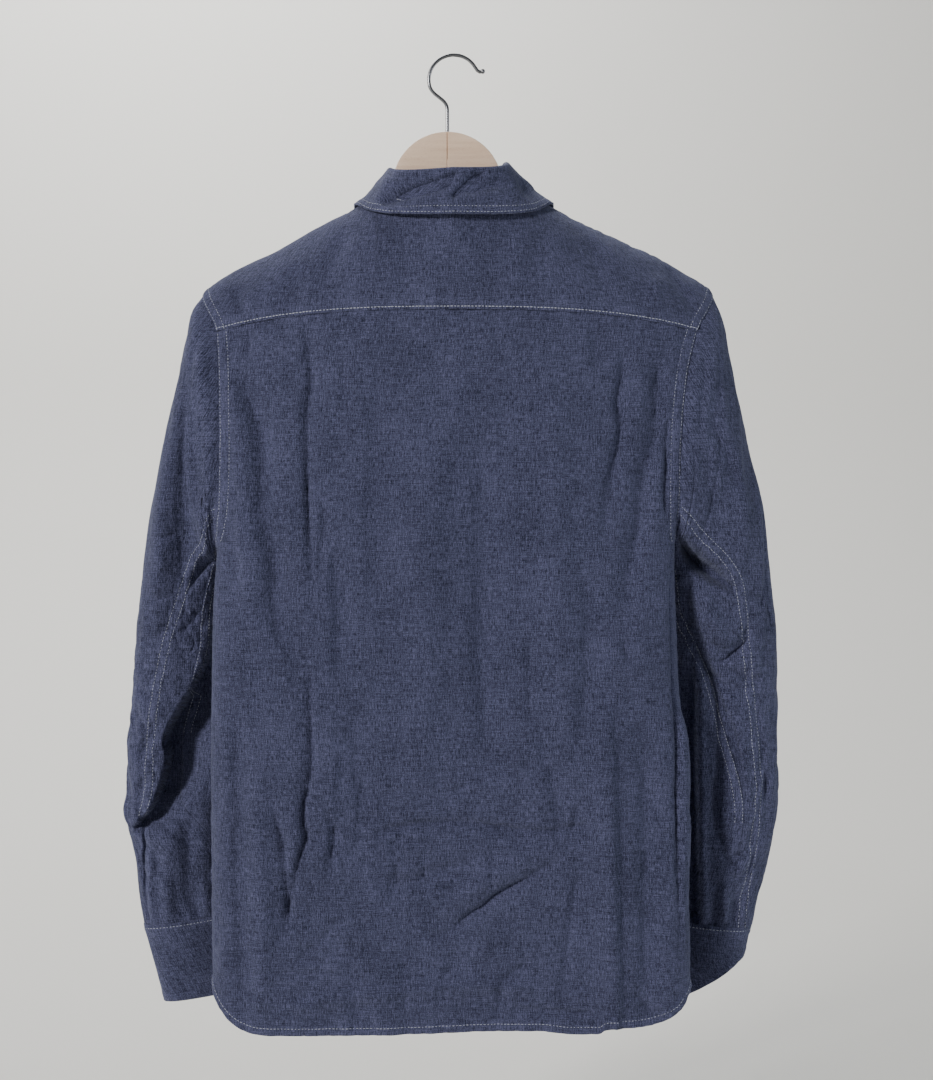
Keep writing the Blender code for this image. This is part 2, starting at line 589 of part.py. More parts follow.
def yoke_centre():
    """Rows of the yoke between the side neck points, back seam to neckline."""
    seam_x, seam_drop = back_centre_row(0.0)
    low_angle = YOKE_BACK_ANGLES.max()
    rows = []
    for angle in YOKE_BACK_ANGLES[::-1]:
        fall = (1 - math.cos(math.radians(angle))) / (1 - math.cos(math.radians(low_angle)))
        top_drop = back_neck_drop(seam_x)
        drop = top_drop + fall * (seam_drop - top_drop)
        if angle == low_angle:
            drop = drop - SEAM_GAP
        rows.append(body_point(seam_x, drop, BACK))
    return np.array(rows)


def front_neck_points(side, tuck):
    """The front's neckline, from the yoke's corner to its centre edge."""
    x, drop = front_row(side, 0.0)
    points = body_point(x, drop, FRONT)
    points[:, 1] += underlap(x, side, tuck)
    return points[SHOULDER_STRIPS:]


def neck_ring(tuck):
    """The whole neckline, from the left front's edge round the back to the right's,
    the right end tucked in under the left."""
    left = yoke_shoulder(LEFT)[YOKE_STRIPS:, 0]
    right = yoke_shoulder(RIGHT)[YOKE_STRIPS:, 0]
    centre = yoke_centre()[-1]
    return np.concatenate([
        front_neck_points(LEFT, tuck)[::-1], left[::-1][1:], centre[1:-1],
        right[:-1], front_neck_points(RIGHT, tuck)])


# ---------------------------------------------------------------- collar
def outward(points):
    """Level direction away from the neck's middle."""
    return unit(points * (1.0, 1.0, 0.0))


def stand_rise(ring):
    """From each point of the neckline up the stand, which leans in at the sides."""
    out = ring[:, 0] / NECK_HALF
    lean = np.where(out >= 0, *STAND_LEAN)
    rise = np.zeros(ring.shape)
    rise[:, 0] = -ring[:, 0] * (1 - lean) * out ** 2
    rise[:, 2] = (STAND_HEIGHT + STAND_TILT * out
                  + STAND_EXTRA * (ring[:, 1] / SECTIONS[0].depth) ** 2)
    return rise


def stand_grid():
    ring = neck_ring(BAND_WALL + 2 * TOUCH_GAP)
    rise = stand_rise(ring)
    base = ring + unit(rise) * ANGLED_GAP
    top = ring + rise - unit(rise) * FOLD_GAP
    middle = (base + top) / 2
    return np.array([base, middle, top])


def collar_edge(share, side):
    place = [smooth(share, column(COLLAR_EDGE, "share"), column(COLLAR_EDGE, name))
             for name in ("x", "y", "drop")]
    return np.stack([side * place[0], place[1], -place[2]], axis=-1)


def collar_grid():
    ring = neck_ring(0.0)[1:-1]
    ring[0, 0] = COLLAR_OPENING
    ring[-1, 0] = -COLLAR_OPENING
    rise = stand_rise(ring)
    up = unit(rise)
    level = outward(ring)
    away = unit(level - up * np.sum(level * up, axis=1, keepdims=True))
    length = np.concatenate([[0], np.cumsum(np.linalg.norm(np.diff(ring, axis=0), axis=1))])
    middle = length[len(ring) // 2]
    share = np.clip(np.abs(length - middle) / middle, 0, 1)
    on_left = np.arange(len(ring)) <= len(ring) // 2
    edge = np.where(on_left[:, None], collar_edge(share, LEFT), collar_edge(share, RIGHT))
    inner = ring + rise + up * FOLD_GAP
    fold = inner + (away + up) * FOLD_ROLL
    outer = inner + away * 2 * FOLD_ROLL
    rows = [inner, fold, outer]
    for t in (0.5, 1.0):
        rows.append(stand_clear(outer + (edge - outer) * t, COLLAR_LIFT))
    return np.array(rows)


# ---------------------------------------------------------------- sleeves and cuffs
def ring_point(ring, degrees, side):
    """A place on a sleeve ring; ring holds one value per place in each column."""
    turn = np.radians(degrees)
    power = 2 / ring["fullness"]
    along = np.sign(np.cos(turn)) * np.abs(np.cos(turn)) ** power
    across = np.sign(np.sin(turn)) * np.abs(np.sin(turn)) ** power
    x = (ring["outer"] + ring["inner"]) / 2 + along * (ring["outer"] - ring["inner"]) / 2
    drop = ((ring["outer_drop"] + ring["inner_drop"]) / 2
            + along * (ring["outer_drop"] - ring["inner_drop"]) / 2)
    x = x - ring["waist"] * np.sin(turn) ** 2
    drop = drop + ring["sag"] * np.sin(turn) ** 2
    folds = LEFT_SLEEVE_FOLDS if side == LEFT else RIGHT_SLEEVE_FOLDS
    showing = np.clip(np.sin(turn), 0, 1) ** FOLD_SPREAD
    y = ring["centre_y"] + ring["half_depth"] * across - troughs(x, drop, folds) * showing
    return np.stack([side * x, y, -drop], axis=-1)


def arm_loop(degrees, side):
    """The armhole seam, at an angle from the shoulder tip by way of the back."""
    drop = arm_drop(degrees)
    x = edge_x(drop, side)
    back = body_point(side * x, drop, BACK)
    front = body_point(side * x, drop, FRONT)
    return np.where((np.sin(np.radians(degrees)) >= 0)[:, None], back, front)


def sleeve_rows(rings, at, degrees, side):
    """Points of a sleeve at ring numbers and angles, its first ring on the armhole."""
    numbers = np.arange(len(rings))
    ring = {name: smooth(at, numbers, column(rings, name)) for name in Ring._fields}
    points = ring_point(ring, degrees, side)
    first = {name: np.full(np.shape(degrees), float(getattr(rings[0], name)))
             for name in Ring._fields}
    nearby = np.clip(1 - at, 0, 1) ** 2
    miss = arm_loop(degrees, side) - ring_point(first, degrees, side)
    return points + miss * nearby[:, None]


def sleeve_grid(rings, side, part):
    """The top or the under sleeve: rings down, columns across from seam to seam."""
    under = np.linspace(SLEEVE_SEAM_ANGLE, 180, ARM_STRIPS_TO_PIT + 1)
    top = np.concatenate([FRONT_ANGLES, YOKE_FRONT_ANGLES[1:], 360 + YOKE_BACK_ANGLES[1:],
                          360 + BACK_ANGLES[1:ARM_STRIPS_TO_SEAM + 1]])
    first = under if part == "under" else top
    share = (first - first[0]) / (first[-1] - first[0])
    rows = []
    for number in range(len(rings)):
        at = np.full(len(share), float(number))
        seams = (rings[number].back_seam, rings[number].under_seam)
        start, end = seams if part == "under" else (seams[1], seams[0] + 360)
        rows.append(sleeve_rows(rings, at, start + share * (end - start), side))
    rows = np.array(rows)
    gap = np.full((len(rings), 1), SLEEVE_GAP)
    gap[:2] = PIT_GAP
    for edge, next_in in ((0, 1), (-1, -2)):
        rows[:, edge] += unit(rows[:, next_in] - rows[:, edge]) * gap / 2
    rows[0] += unit(rows[1] - rows[0]) * ARM_GAP
    return rows


def cuff_grid(rings, end, side):
    """A cuff from the sleeve's last ring to its own edge, lapped at the inner front."""
    start = rings[-1].under_seam + 75
    degrees = np.linspace(start, start + 360 + CUFF_LAP, CUFF_COLUMNS + 1)
    from_start = np.clip((degrees - start) / CUFF_LAP, 0, 1)
    to_end = np.clip((start + 360 + CUFF_LAP - degrees) / CUFF_LAP, 0, 1)
    step_out = (BAND_WALL + 2 * TOUCH_GAP) / 2
    offset = step_out * ((1 - to_end) - (1 - from_start))
    rows = []
    for t in (0.0, 0.5, 1.0):
        ring = {name: np.full(len(degrees), (1 - t) * getattr(rings[-1], name) + t * getattr(end, name))
                for name in Ring._fields}
        points = ring_point(ring, degrees, side)
        middle = points.mean(axis=0)
        away = unit((points - middle) * (1.0, 1.0, 0.0))
        rows.append(points + away * offset[:, None])
    rows = np.array(rows)
    rows[0] += unit(rows[1] - rows[0]) * ANGLED_GAP
    return rows


# ---------------------------------------------------------------- making objects
def clear_scene():
    for item in list(bpy.data.objects):
        bpy.data.objects.remove(item, do_unlink=True)


def new_collection(name):
    collection = bpy.data.collections.new(name)
    bpy.context.scene.collection.children.link(collection)
    return collection


def material(name, colour, roughness, metallic=0.0):
    made = bpy.data.materials.new(name)
    made.use_nodes = True
    shader = made.node_tree.nodes["Principled BSDF"]
    shader.inputs["Base Color"].default_value = colour
    shader.inputs["Roughness"].default_value = roughness
    shader.inputs["Metallic"].default_value = metallic
    made.diffuse_color = colour
    return made


def add_object(name, data, look, collection):
    made = bpy.data.objects.new(name, data)
    made.data.materials.append(look)
    collection.objects.link(made)
    return made


def grid_mesh(name, rows, outward_sign):
    """A sheet of quads through rows of points."""
    count_rows, count_columns = rows.shape[:2]
    faces = []
    for i in range(count_rows - 1):
        for j in range(count_columns - 1):
            a = i * count_columns + j
            quad = (a, a + 1, a + count_columns + 1, a + count_columns)
            faces.append(quad if outward_sign > 0 else quad[::-1])
    mesh = bpy.data.meshes.new(name)
    mesh.from_pydata([tuple(p) for p in rows.reshape(-1, 3)], [], faces)
    return mesh


def cloth_piece(name, mesh, wall, look, collection):
    """A sheet with its wall, half to each side of the middle surface."""
    piece = add_object(name, mesh, look, collection)
    solid = piece.modifiers.new("wall", "SOLIDIFY")
    solid.thickness = wall
    solid.offset = 0.0
    mesh.shade_smooth()
    return piece


def yoke_mesh():
    """Both shoulders and the centre of the yoke, welded along the shared columns."""
    mesh = bpy.data.meshes.new("yoke")
    joined = bmesh.new()
    centre = grid_mesh("yoke_centre", yoke_centre(), 1)
    left = grid_mesh("yoke_left", yoke_shoulder(LEFT), -1)
    right = grid_mesh("yoke_right", yoke_shoulder(RIGHT), 1)
    for part in (centre, left, right):
        joined.from_mesh(part)
        bpy.data.meshes.remove(part)
    bmesh.ops.remove_doubles(joined, verts=joined.verts, dist=WELD)
    joined.to_mesh(mesh)
    joined.free()
    return mesh


def add_cloth(collection):
    looks = {name: material(name, DENIM_BLUE, 0.85) for name in (
        "yoke", "back", "front_left", "front_right", "placket", "collar_stand", "collar",
        "sleeve_left_top", "sleeve_left_under", "sleeve_right_top", "sleeve_right_under",
        "cuff_left", "cuff_right")}
    cloth_piece("yoke", yoke_mesh(), CLOTH_WALL, looks["yoke"], collection)
    cloth_piece("back", grid_mesh("back", back_grid(), 1), CLOTH_WALL, looks["back"], collection)
    for side, name in ((LEFT, "front_left"), (RIGHT, "front_right")):
        cloth_piece(name, grid_mesh(name, front_grid(side), -side), CLOTH_WALL, looks[name], collection)
    placket = front_grid(LEFT)[:, -3:]
    placket[:, :, 1] -= CLOTH_WALL + TOUCH_GAP
    cloth_piece("placket", grid_mesh("placket", placket, -1), CLOTH_WALL, looks["placket"], collection)
    for side, word, rings, end in ((LEFT, "left", LEFT_RINGS, LEFT_CUFF_END),
                                   (RIGHT, "right", RIGHT_RINGS, RIGHT_CUFF_END)):
        for part in ("top", "under"):
            name = f"sleeve_{word}_{part}"
            mesh = grid_mesh(name, sleeve_grid(rings, side, part), side)
            cloth_piece(name, mesh, CLOTH_WALL, looks[name], collection)
        name = f"cuff_{word}"
        mesh = grid_mesh(name, cuff_grid(rings, end, side), side)
        cloth_piece(name, mesh, BAND_WALL, looks[name], collection)
    cloth_piece("collar_stand", grid_mesh("collar_stand", stand_grid(), -1), BAND_WALL,
                looks["collar_stand"], collection)
    cloth_piece("collar", grid_mesh("collar", collar_grid(), -1), BAND_WALL, looks["collar"], collection)


# ---------------------------------------------------------------- buttons
def add_button(name, place, normal, look, collection):
    """A flat round button, its back on the cloth at place."""
    mesh = bpy.data.meshes.new(name)
    shape = bmesh.new()
    bmesh.ops.create_cone(shape, cap_ends=True, segments=BUTTON_SIDES, radius1=BUTTON_RADIUS,
                          radius2=BUTTON_RADIUS * BUTTON_TAPER, depth=BUTTON_THICK)
    shape.to_mesh(mesh)
    shape.free()
    button = add_object(name, mesh, look, collection)
    axis = Vector(normal.tolist())
    button.rotation_mode = "QUATERNION"
    button.rotation_quaternion = axis.to_track_quat("Z", "Y")
    button.location = Vector(place.tolist()) + axis * BUTTON_THICK / 2


def front_normal(rows, row, first, last):
    """Normal of a grid's middle row between two columns, on the side that faces forward."""
    normal = unit(np.cross(rows[row, last] - rows[row, first], rows[row + 1, first] - rows[row - 1, first]))
    return normal * -np.sign(normal[1])


def add_buttons(collection):
    look = material("button", BUTTON_BROWN, 0.35)
    lift = CLOTH_WALL * 1.5 + 2 * TOUCH_GAP
    for number in range(FRONT_BUTTONS):
        drop = NECK_DROP + FRONT_NECK_DIP + BUTTON_FIRST + number * BUTTON_PITCH
        normal = body_normal(0.0, drop, FRONT)
        place = body_point(0.0, drop, FRONT) + normal * lift
        add_button(f"button_front_{number + 1}", place, normal, look, collection)
    band_lift = BAND_WALL / 2 + TOUCH_GAP
    stand = stand_grid()
    normal = front_normal(stand, 1, 0, 2)
    add_button("button_collar", stand[1, 1] + normal * band_lift, normal, look, collection)
    for side, word, rings, end in ((LEFT, "left", LEFT_RINGS, LEFT_CUFF_END),
                                   (RIGHT, "right", RIGHT_RINGS, RIGHT_CUFF_END)):
        cuff = cuff_grid(rings, end, side)
        normal = front_normal(cuff, 1, -2, -1)
        place = (cuff[1, -2] + cuff[1, -1]) / 2
        add_button(f"button_cuff_{word}", place + normal * band_lift, normal, look, collection)


# ---------------------------------------------------------------- hanger and hook
def wood_top_drop(x):
    """Top of the wood: a dome over the joint that runs into the two shoulder lines."""
    side = LEFT if x >= 0 else RIGHT
    out = abs(x - STEM_X)
    shoulder = float(ridge_drop(max(abs(x), NECK_HALF), side)) + WOOD_CLEAR
    shoulder -= WOOD_NECK_RISE * max(NECK_HALF - abs(x), 0) / NECK_HALF
    if out >= WOOD_DOME:
        return shoulder
    return min(shoulder, WOOD_DOME_DROP + WOOD_DOME - math.sqrt(WOOD_DOME ** 2 - out ** 2))


def wood_outline():
    """Points (x, z) round the hanger, from its left tip over the top and back below."""
    left_tip, right_tip = WOOD_TIPS
    count = round((left_tip + right_tip) / WOOD_STEP)
    along = np.linspace(left_tip, -right_tip, count + 1)
    under = smooth(np.abs(along - STEM_X), column(WOOD_UNDER, "out"), column(WOOD_UNDER, "under_drop"))
    top = np.array([wood_top_drop(x) for x in along])
    from_end = np.minimum(left_tip - along, along + right_tip)
    open_share = np.sqrt(1 - (1 - np.clip(from_end / WOOD_TIP_ROUND, 0, 1)) ** 2)
    middle = (top + under) / 2
    top = middle + (top - middle) * open_share
    under = middle + (under - middle) * open_share
    upper = np.stack([along, -top], axis=1)
    lower = np.stack([along, -under], axis=1)
    return np.concatenate([upper, lower[-2:0:-1]])


def poly_curve(name, dimensions, points, cyclic):
    """A curve through points, straight from one to the next."""
    data = bpy.data.curves.new(name, "CURVE")
    data.dimensions = dimensions
    spline = data.splines.new("POLY")
    spline.points.add(len(points) - 1)
    for target, point in zip(spline.points, points):
        target.co = (*point, 1.0)
    spline.use_cyclic_u = cyclic
    return data


def wood_mesh():
    """The hanger's blank: its outline, extruded and rounded along its edges."""
    data = poly_curve("wood_blank", "2D", [(x, z, 0.0) for x, z in wood_outline()], True)
    data.fill_mode = "BOTH"
    data.extrude = WOOD_HALF_THICK - WOOD_ROUND
    data.bevel_depth = WOOD_ROUND
    data.bevel_resolution = 2
    data.offset = -WOOD_ROUND
    blank = bpy.data.objects.new("wood_blank", data)
    bpy.context.scene.collection.objects.link(blank)
    blank.rotation_euler = (math.pi / 2, 0.0, 0.0)
    bpy.context.view_layer.update()
    graph = bpy.context.evaluated_depsgraph_get()
    mesh = bpy.data.meshes.new_from_object(blank.evaluated_get(graph))
    mesh.transform(blank.matrix_world)
    bpy.data.objects.remove(blank)
    shape = bmesh.new()
    shape.from_mesh(mesh)
    bmesh.ops.remove_doubles(shape, verts=shape.verts, dist=WELD)
    shape.to_mesh(mesh)
    shape.free()
    return mesh


def half_of(mesh, name, side):
    """One arm: the blank cut just beside the joint, its end closed."""
    shape = bmesh.new()
    shape.from_mesh(mesh)
    everything = list(shape.verts) + list(shape.edges) + list(shape.faces)
    cut = bmesh.ops.bisect_plane(shape, geom=everything, plane_co=(STEM_X + side * TOUCH_GAP / 2, 0, 0),
                                 plane_no=(side, 0, 0), clear_inner=True)
    edges = [item for item in cut["geom_cut"] if isinstance(item, bmesh.types.BMEdge)]
    bmesh.ops.holes_fill(shape, edges=edges, sides=0)
    half = bpy.data.meshes.new(name)
    shape.to_mesh(half)
    shape.free()
    return half


def add_hanger(collection, cutters):
    look = material("beech", BEECH, 0.5)
    bottom = STEM_END_DROP + TOUCH_GAP
    bpy.ops.mesh.primitive_cylinder_add(
        radius=HOLE_RADIUS, depth=bottom - STEM_TOP_DROP, vertices=HOLE_SIDES)
    hole = bpy.context.object
    hole.name = "stem_hole"
    hole.location = (STEM_X, 0, -(bottom + STEM_TOP_DROP) / 2)
    hole.hide_render = True
    hole.display_type = "WIRE"
    for old in list(hole.users_collection):
        old.objects.unlink(hole)
    cutters.objects.link(hole)
    blank = wood_mesh()
    for side, name in ((LEFT, "hanger_left"), (RIGHT, "hanger_right")):
        arm = add_object(name, half_of(blank, name, side), look, collection)
        bore = arm.modifiers.new("stem", "BOOLEAN")
        bore.operation = "DIFFERENCE"
        bore.object = hole
    bpy.data.meshes.remove(blank)


def hook_path():
    """Middle of the wire: up the stem, round the bend, over the circle to the tip."""
    stem = [(STEM_X, -drop) for drop in np.linspace(STEM_END_DROP, STEM_TOP_DROP, 7)]
    start = math.radians(HOOK_FROM)
    join = np.array([HOOK_RADIUS * math.cos(start), -HOOK_CENTRE_DROP + HOOK_RADIUS * math.sin(start)])
    back = np.array([math.sin(start), -math.cos(start)])
    corners = np.array([stem[-1], (STEM_X, -STEM_TOP_DROP + HOOK_BEND), join + back * HOOK_BEND, join])
    bend = []
    for t in np.linspace(0, 1, 11)[1:-1]:
        weights = np.array([(1 - t) ** 3, 3 * t * (1 - t) ** 2, 3 * t * t * (1 - t), t ** 3])
        bend.append(tuple(weights @ corners))
    turn = np.radians(np.linspace(HOOK_FROM, HOOK_TO, 26))
    circle = [(HOOK_RADIUS * math.cos(a), -HOOK_CENTRE_DROP + HOOK_RADIUS * math.sin(a)) for a in turn]
    end = [tuple(np.array(circle[-1]) + np.array(move)) for move in HOOK_TIP]
    return stem + bend + circle + end


def add_hook(collection):
    data = poly_curve("hook", "3D", [(x, 0.0, z) for x, z in hook_path()], False)
    data.bevel_depth = WIRE_RADIUS
    data.bevel_resolution = 2
    data.use_fill_caps = True
    add_object("hook", data, material("steel wire", STEEL, 0.3, 1.0), collection)


def build():
    clear_scene()
    shirt = new_collection("chambray_shirt_on_hanger")
    cutters = new_collection("cutters")
    add_cloth(shirt)
    add_buttons(shirt)
    add_hanger(shirt, cutters)
    add_hook(shirt)


build()
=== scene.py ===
"""Chambray work shirt on a wooden hanger with a steel-wire hook: its visible model.

Metres, +Z up.  The shirt's front faces -Y and its back +Y, so +X is the wearer's left.
The origin is the inner top of the hook, where the hanger rests on whatever holds it.

Laid out as an add-on: the sizes and colours are in the property groups, and each
operator makes one piece or one group of like pieces.  Run as a script, main() calls
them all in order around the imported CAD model.

The body of the shirt is one smooth form, body_point().  Each panel is a fine grid of
points on it, moved along the form's normal by the creases, the felled seams, the
puckers beside them and the cloth's own unevenness.
"""

import math
from collections import namedtuple

import bmesh
import bpy
import numpy as np
from bpy.props import FloatProperty, FloatVectorProperty, IntProperty, PointerProperty
from mathutils import Matrix, Vector


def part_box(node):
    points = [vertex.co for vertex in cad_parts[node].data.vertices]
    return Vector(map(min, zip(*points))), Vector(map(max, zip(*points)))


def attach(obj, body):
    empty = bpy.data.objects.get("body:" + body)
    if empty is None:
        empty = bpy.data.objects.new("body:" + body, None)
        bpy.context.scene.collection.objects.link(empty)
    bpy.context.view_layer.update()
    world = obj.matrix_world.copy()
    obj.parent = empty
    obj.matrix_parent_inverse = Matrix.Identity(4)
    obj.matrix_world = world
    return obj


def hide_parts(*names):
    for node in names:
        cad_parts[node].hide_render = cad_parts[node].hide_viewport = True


bl_info = {
    "name": "Chambray Shirt on a Hanger",
    "version": (1, 0, 0),
    "blender": (4, 5, 0),
    "location": "3D View > Sidebar > Shirt",
    "description": "Builds a chambray work shirt on a wooden hanger, piece by piece",
    "category": "Object",
}

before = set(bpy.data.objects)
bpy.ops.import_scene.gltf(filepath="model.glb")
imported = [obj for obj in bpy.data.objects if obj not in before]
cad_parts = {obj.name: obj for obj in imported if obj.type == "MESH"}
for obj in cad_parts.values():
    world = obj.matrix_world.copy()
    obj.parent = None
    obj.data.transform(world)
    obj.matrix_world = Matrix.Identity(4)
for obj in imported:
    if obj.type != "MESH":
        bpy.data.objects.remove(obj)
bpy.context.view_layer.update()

MM = 0.001
LEFT = 1
RIGHT = -1
BACK = 1
FRONT = -1
SIDES = ((LEFT, "left"), (RIGHT, "right"))

# -------------------- the shirt's cut
CLOTH_WALL = 0.0012        # one layer of shirting with its felled turnings
BAND_WALL = 0.0020         # collar, stand and cuffs: two layers and interlining
TOUCH_GAP = 0.0003         # between layers that lie on each other
NECK_HALF = 0.070          # side neck point, out from the centre line
NECK_DROP = 0.126          # side neck point, below the hook
BACK_NECK_DIP = 0.022      # back neckline, below the side neck point
FRONT_NECK_DIP = 0.0795    # front neckline, below the side neck point
BACK_NECK_POWER = 2.0      # how square each neckline is: across, then down
FRONT_NECK_POWER = 2.5
NECK_ROUND = 0.6
TIP_DROP = 0.2195          # shoulder tip, below the hook
ARMPIT_DROP = 0.450
ARM_HALF_DEPTH = 0.027     # half depth of the armhole, front to back
BACK_SEAM_DROP = 0.2375    # yoke seam at the centre back
BACK_SEAM_FALL = 0.0165    # and how much lower it ends at the armholes
FRONT_SEAM_DROP = 0.262    # yoke seam at the front armhole
NECK_SHARE = 0.435         # share of the front neckline's dip that the yoke covers
HEM_DROP = 0.8825
HEM_CORNER_RISE = 0.037    # the hem turns up at the side seams
HEM_CORNER_START = 0.75    # share of the half width where it starts
PLACKET_EDGE = 0.016       # past the centre line
PLACKET_WIDTH = 0.034
UNDERLAP_START = 0.034     # the right front starts to go under the left here
UNDERLAP_END = 0.018       # and lies fully under it from here on
STAND_HEIGHT = 0.0210      # at the sides; more at front and back
STAND_TILT = -0.0024       # added at the wearer's left side, taken off at the right
STAND_EXTRA = 0.0100
STAND_LEAN = (0.80, 0.66)  # its top ring against its base at the sides, left and right
NECK_DEPTH = 0.049         # half depth of the body at the neck
FOLD_ROLL = 0.0026         # radius of the fold between stand and collar
COLLAR_LIFT = 0.0034       # middle of the collar off the middle of the cloth below it
COLLAR_OPENING = 0.005     # half gap between the collar's front edges
SLEEVE_TURN = {LEFT: 0.26, RIGHT: 0.20}     # how far a sleeve hangs back for each metre out
SLEEVE_PIVOT = {LEFT: 0.3, RIGHT: -0.8}     # from where: its inner line is -1, its outer 1
SLEEVE_TURN_FROM = 0.345   # the turn comes in from this drop, over the next distance
SLEEVE_TURN_OVER = 0.120
CUFF_LAP = 34.0            # degrees of the cuff's overlap
CUFF_LAP_START = {LEFT: 210.0, RIGHT: 195.0}   # degrees from the outer point, by the back

# How much lower the back's hem hangs at each place across, in millimetres.
HEM_WAVE = ((-212, 0), (-204, -0.6), (-196, -2.6), (-188, -4.4), (-180, -5.4), (-160, -5.6),
            (-141, -5.6), (-135, -4.6), (-129, -0.8), (-108, 0.2), (-76, -2.4), (-38, -1.8),
            (12, 0.4), (86, 1.6), (134, 1.6), (163, 1.2), (190, 0.6), (212, 0))

# Half width of the body at each drop: the shoulder ridge down to the tip, the armhole
# seam down to the armpit, then the side seam.
Edge = namedtuple("Edge", "drop left right")
EDGES = (
    Edge(0.126, 0.070, 0.070), Edge(0.142, 0.0945, 0.0960), Edge(0.163, 0.133, 0.139),
    Edge(0.180, 0.163, 0.176), Edge(0.200, 0.203, 0.212), Edge(0.2195, 0.229, 0.2365),
    Edge(0.255, 0.2145, 0.2205), Edge(0.300, 0.2115, 0.2100), Edge(0.355, 0.2105, 0.2050),
    Edge(0.408, 0.2115, 0.2035), Edge(0.450, 0.2150, 0.2000), Edge(0.550, 0.2177, 0.2020),
    Edge(0.610, 0.2180, 0.2060), Edge(0.665, 0.2185, 0.2105), Edge(0.770, 0.2178, 0.2120),
    Edge(0.890, 0.2165, 0.2130),
)

# Section of the body at each drop: half depth, how far its sides bow towards the back,
# and the exponent of its rounded outline.
Section = namedtuple("Section", "drop depth bow fullness")
SECTIONS = (
    Section(0.126, 0.0490, 0.000, 1.50), Section(0.150, 0.0495, 0.000, 1.50),
    Section(0.220, 0.0490, 0.000, 1.80), Section(0.300, 0.0470, 0.002, 2.30),
    Section(0.450, 0.0460, 0.009, 2.90), Section(0.560, 0.0460, 0.020, 3.00),
    Section(0.890, 0.0460, 0.022, 3.00),
)

# Sleeve rings.  Each lies in a plane through its outer and its inner point, along Y.
# waist draws the ring's front and back in towards the body, sag lets them down.
# back_seam and under_seam are the sleeve's two seams, in degrees from the outer point,
# by way of the back.
Ring = namedtuple("Ring", "outer outer_drop inner inner_drop centre_y half_depth back_seam "
                  "under_seam fullness waist sag", defaults=(2.2, 0, 0))
LEFT_RINGS = (
    Ring(0.2290, 0.2195, 0.2150, 0.450, 0.003, 0.027, 133.2, 180, 2.0, 0.0095),
    Ring(0.2405, 0.238, 0.2185, 0.4535, 0.001, 0.033, 131, 172, 2.0, 0.0055),
    Ring(0.2500, 0.280, 0.2195, 0.4585, -0.004, 0.036, 128, 165, 2.1, 0.0020),
    Ring(0.2610, 0.326, 0.2185, 0.465, -0.010, 0.038, 124, 157, 2.1),
    Ring(0.2710, 0.370, 0.2180, 0.473, -0.017, 0.038, 116, 147),
    Ring(0.2820, 0.424, 0.2155, 0.485, -0.024, 0.038, 99, 134),
    Ring(0.2925, 0.492, 0.2110, 0.512, -0.033, 0.037, 84, 116),
    Ring(0.2975, 0.538, 0.2050, 0.548, -0.038, 0.036, 68, 107),
    Ring(0.3015, 0.593, 0.2000, 0.592, -0.041, 0.035, 56, 92),
    Ring(0.3055, 0.640, 0.1960, 0.636, -0.043, 0.034, 52, 84),
    Ring(0.3060, 0.678, 0.1940, 0.672, -0.044, 0.034, 50, 84),
    Ring(0.3095, 0.696, 0.1930, 0.693, -0.044, 0.034, 47, 92),
    Ring(0.3060, 0.713, 0.1920, 0.712, -0.044, 0.033, 42, 105),
    Ring(0.2985, 0.740, 0.1920, 0.738, -0.044, 0.031, 36, 120),
    Ring(0.2955, 0.775, 0.1920, 0.770, -0.045, 0.029, 32, 130),
    Ring(0.2900, 0.806, 0.1920, 0.794, -0.046, 0.027, 30, 135, 2.3),
)
RIGHT_RINGS = (
    Ring(0.2365, 0.2195, 0.2000, 0.450, 0.003, 0.027, 133.2, 180, 2.0, 0.0140),
    Ring(0.2450, 0.240, 0.2008, 0.454, 0.001, 0.033, 128, 172, 2.0, 0.0060),
    Ring(0.2535, 0.277, 0.2008, 0.459, -0.004, 0.036, 122, 165, 2.1, 0.0020),
    Ring(0.2635, 0.326, 0.2000, 0.465, -0.010, 0.038, 114, 158, 2.1),
    Ring(0.2710, 0.365, 0.1990, 0.472, -0.017, 0.038, 104, 150),
    Ring(0.2850, 0.413, 0.1975, 0.486, -0.024, 0.038, 90, 142),
    Ring(0.2935, 0.481, 0.1965, 0.512, -0.033, 0.037, 67, 134),
    Ring(0.2985, 0.526, 0.1950, 0.548, -0.038, 0.036, 64, 113),
    Ring(0.3005, 0.575, 0.1940, 0.590, -0.041, 0.035, 60, 96),
    Ring(0.3015, 0.622, 0.1955, 0.632, -0.043, 0.034, 55, 87),
    Ring(0.3032, 0.668, 0.1940, 0.670, -0.044, 0.034, 52, 76),
    Ring(0.3005, 0.696, 0.1930, 0.697, -0.044, 0.034, 50, 71),
    Ring(0.2965, 0.722, 0.1920, 0.720, -0.044, 0.033, 48, 70),
    Ring(0.2900, 0.751, 0.1920, 0.746, -0.044, 0.031, 45, 70),
    Ring(0.2830, 0.778, 0.1920, 0.774, -0.045, 0.029, 42, 70),
    Ring(0.2775, 0.806, 0.1920, 0.800, -0.046, 0.027, 38, 70, 2.3),
)
LEFT_CUFF_END = Ring(0.2710, 0.8750, 0.1840, 0.8640, -0.046, 0.025, 30, 135, 2.4)
RIGHT_CUFF_END = Ring(0.2720, 0.8290, 0.1860, 0.8780, -0.046, 0.025, 38, 70, 2.3, 0, 0.006)
ARMS = {LEFT: (LEFT_RINGS, LEFT_CUFF_END), RIGHT: (RIGHT_RINGS, RIGHT_CUFF_END)}

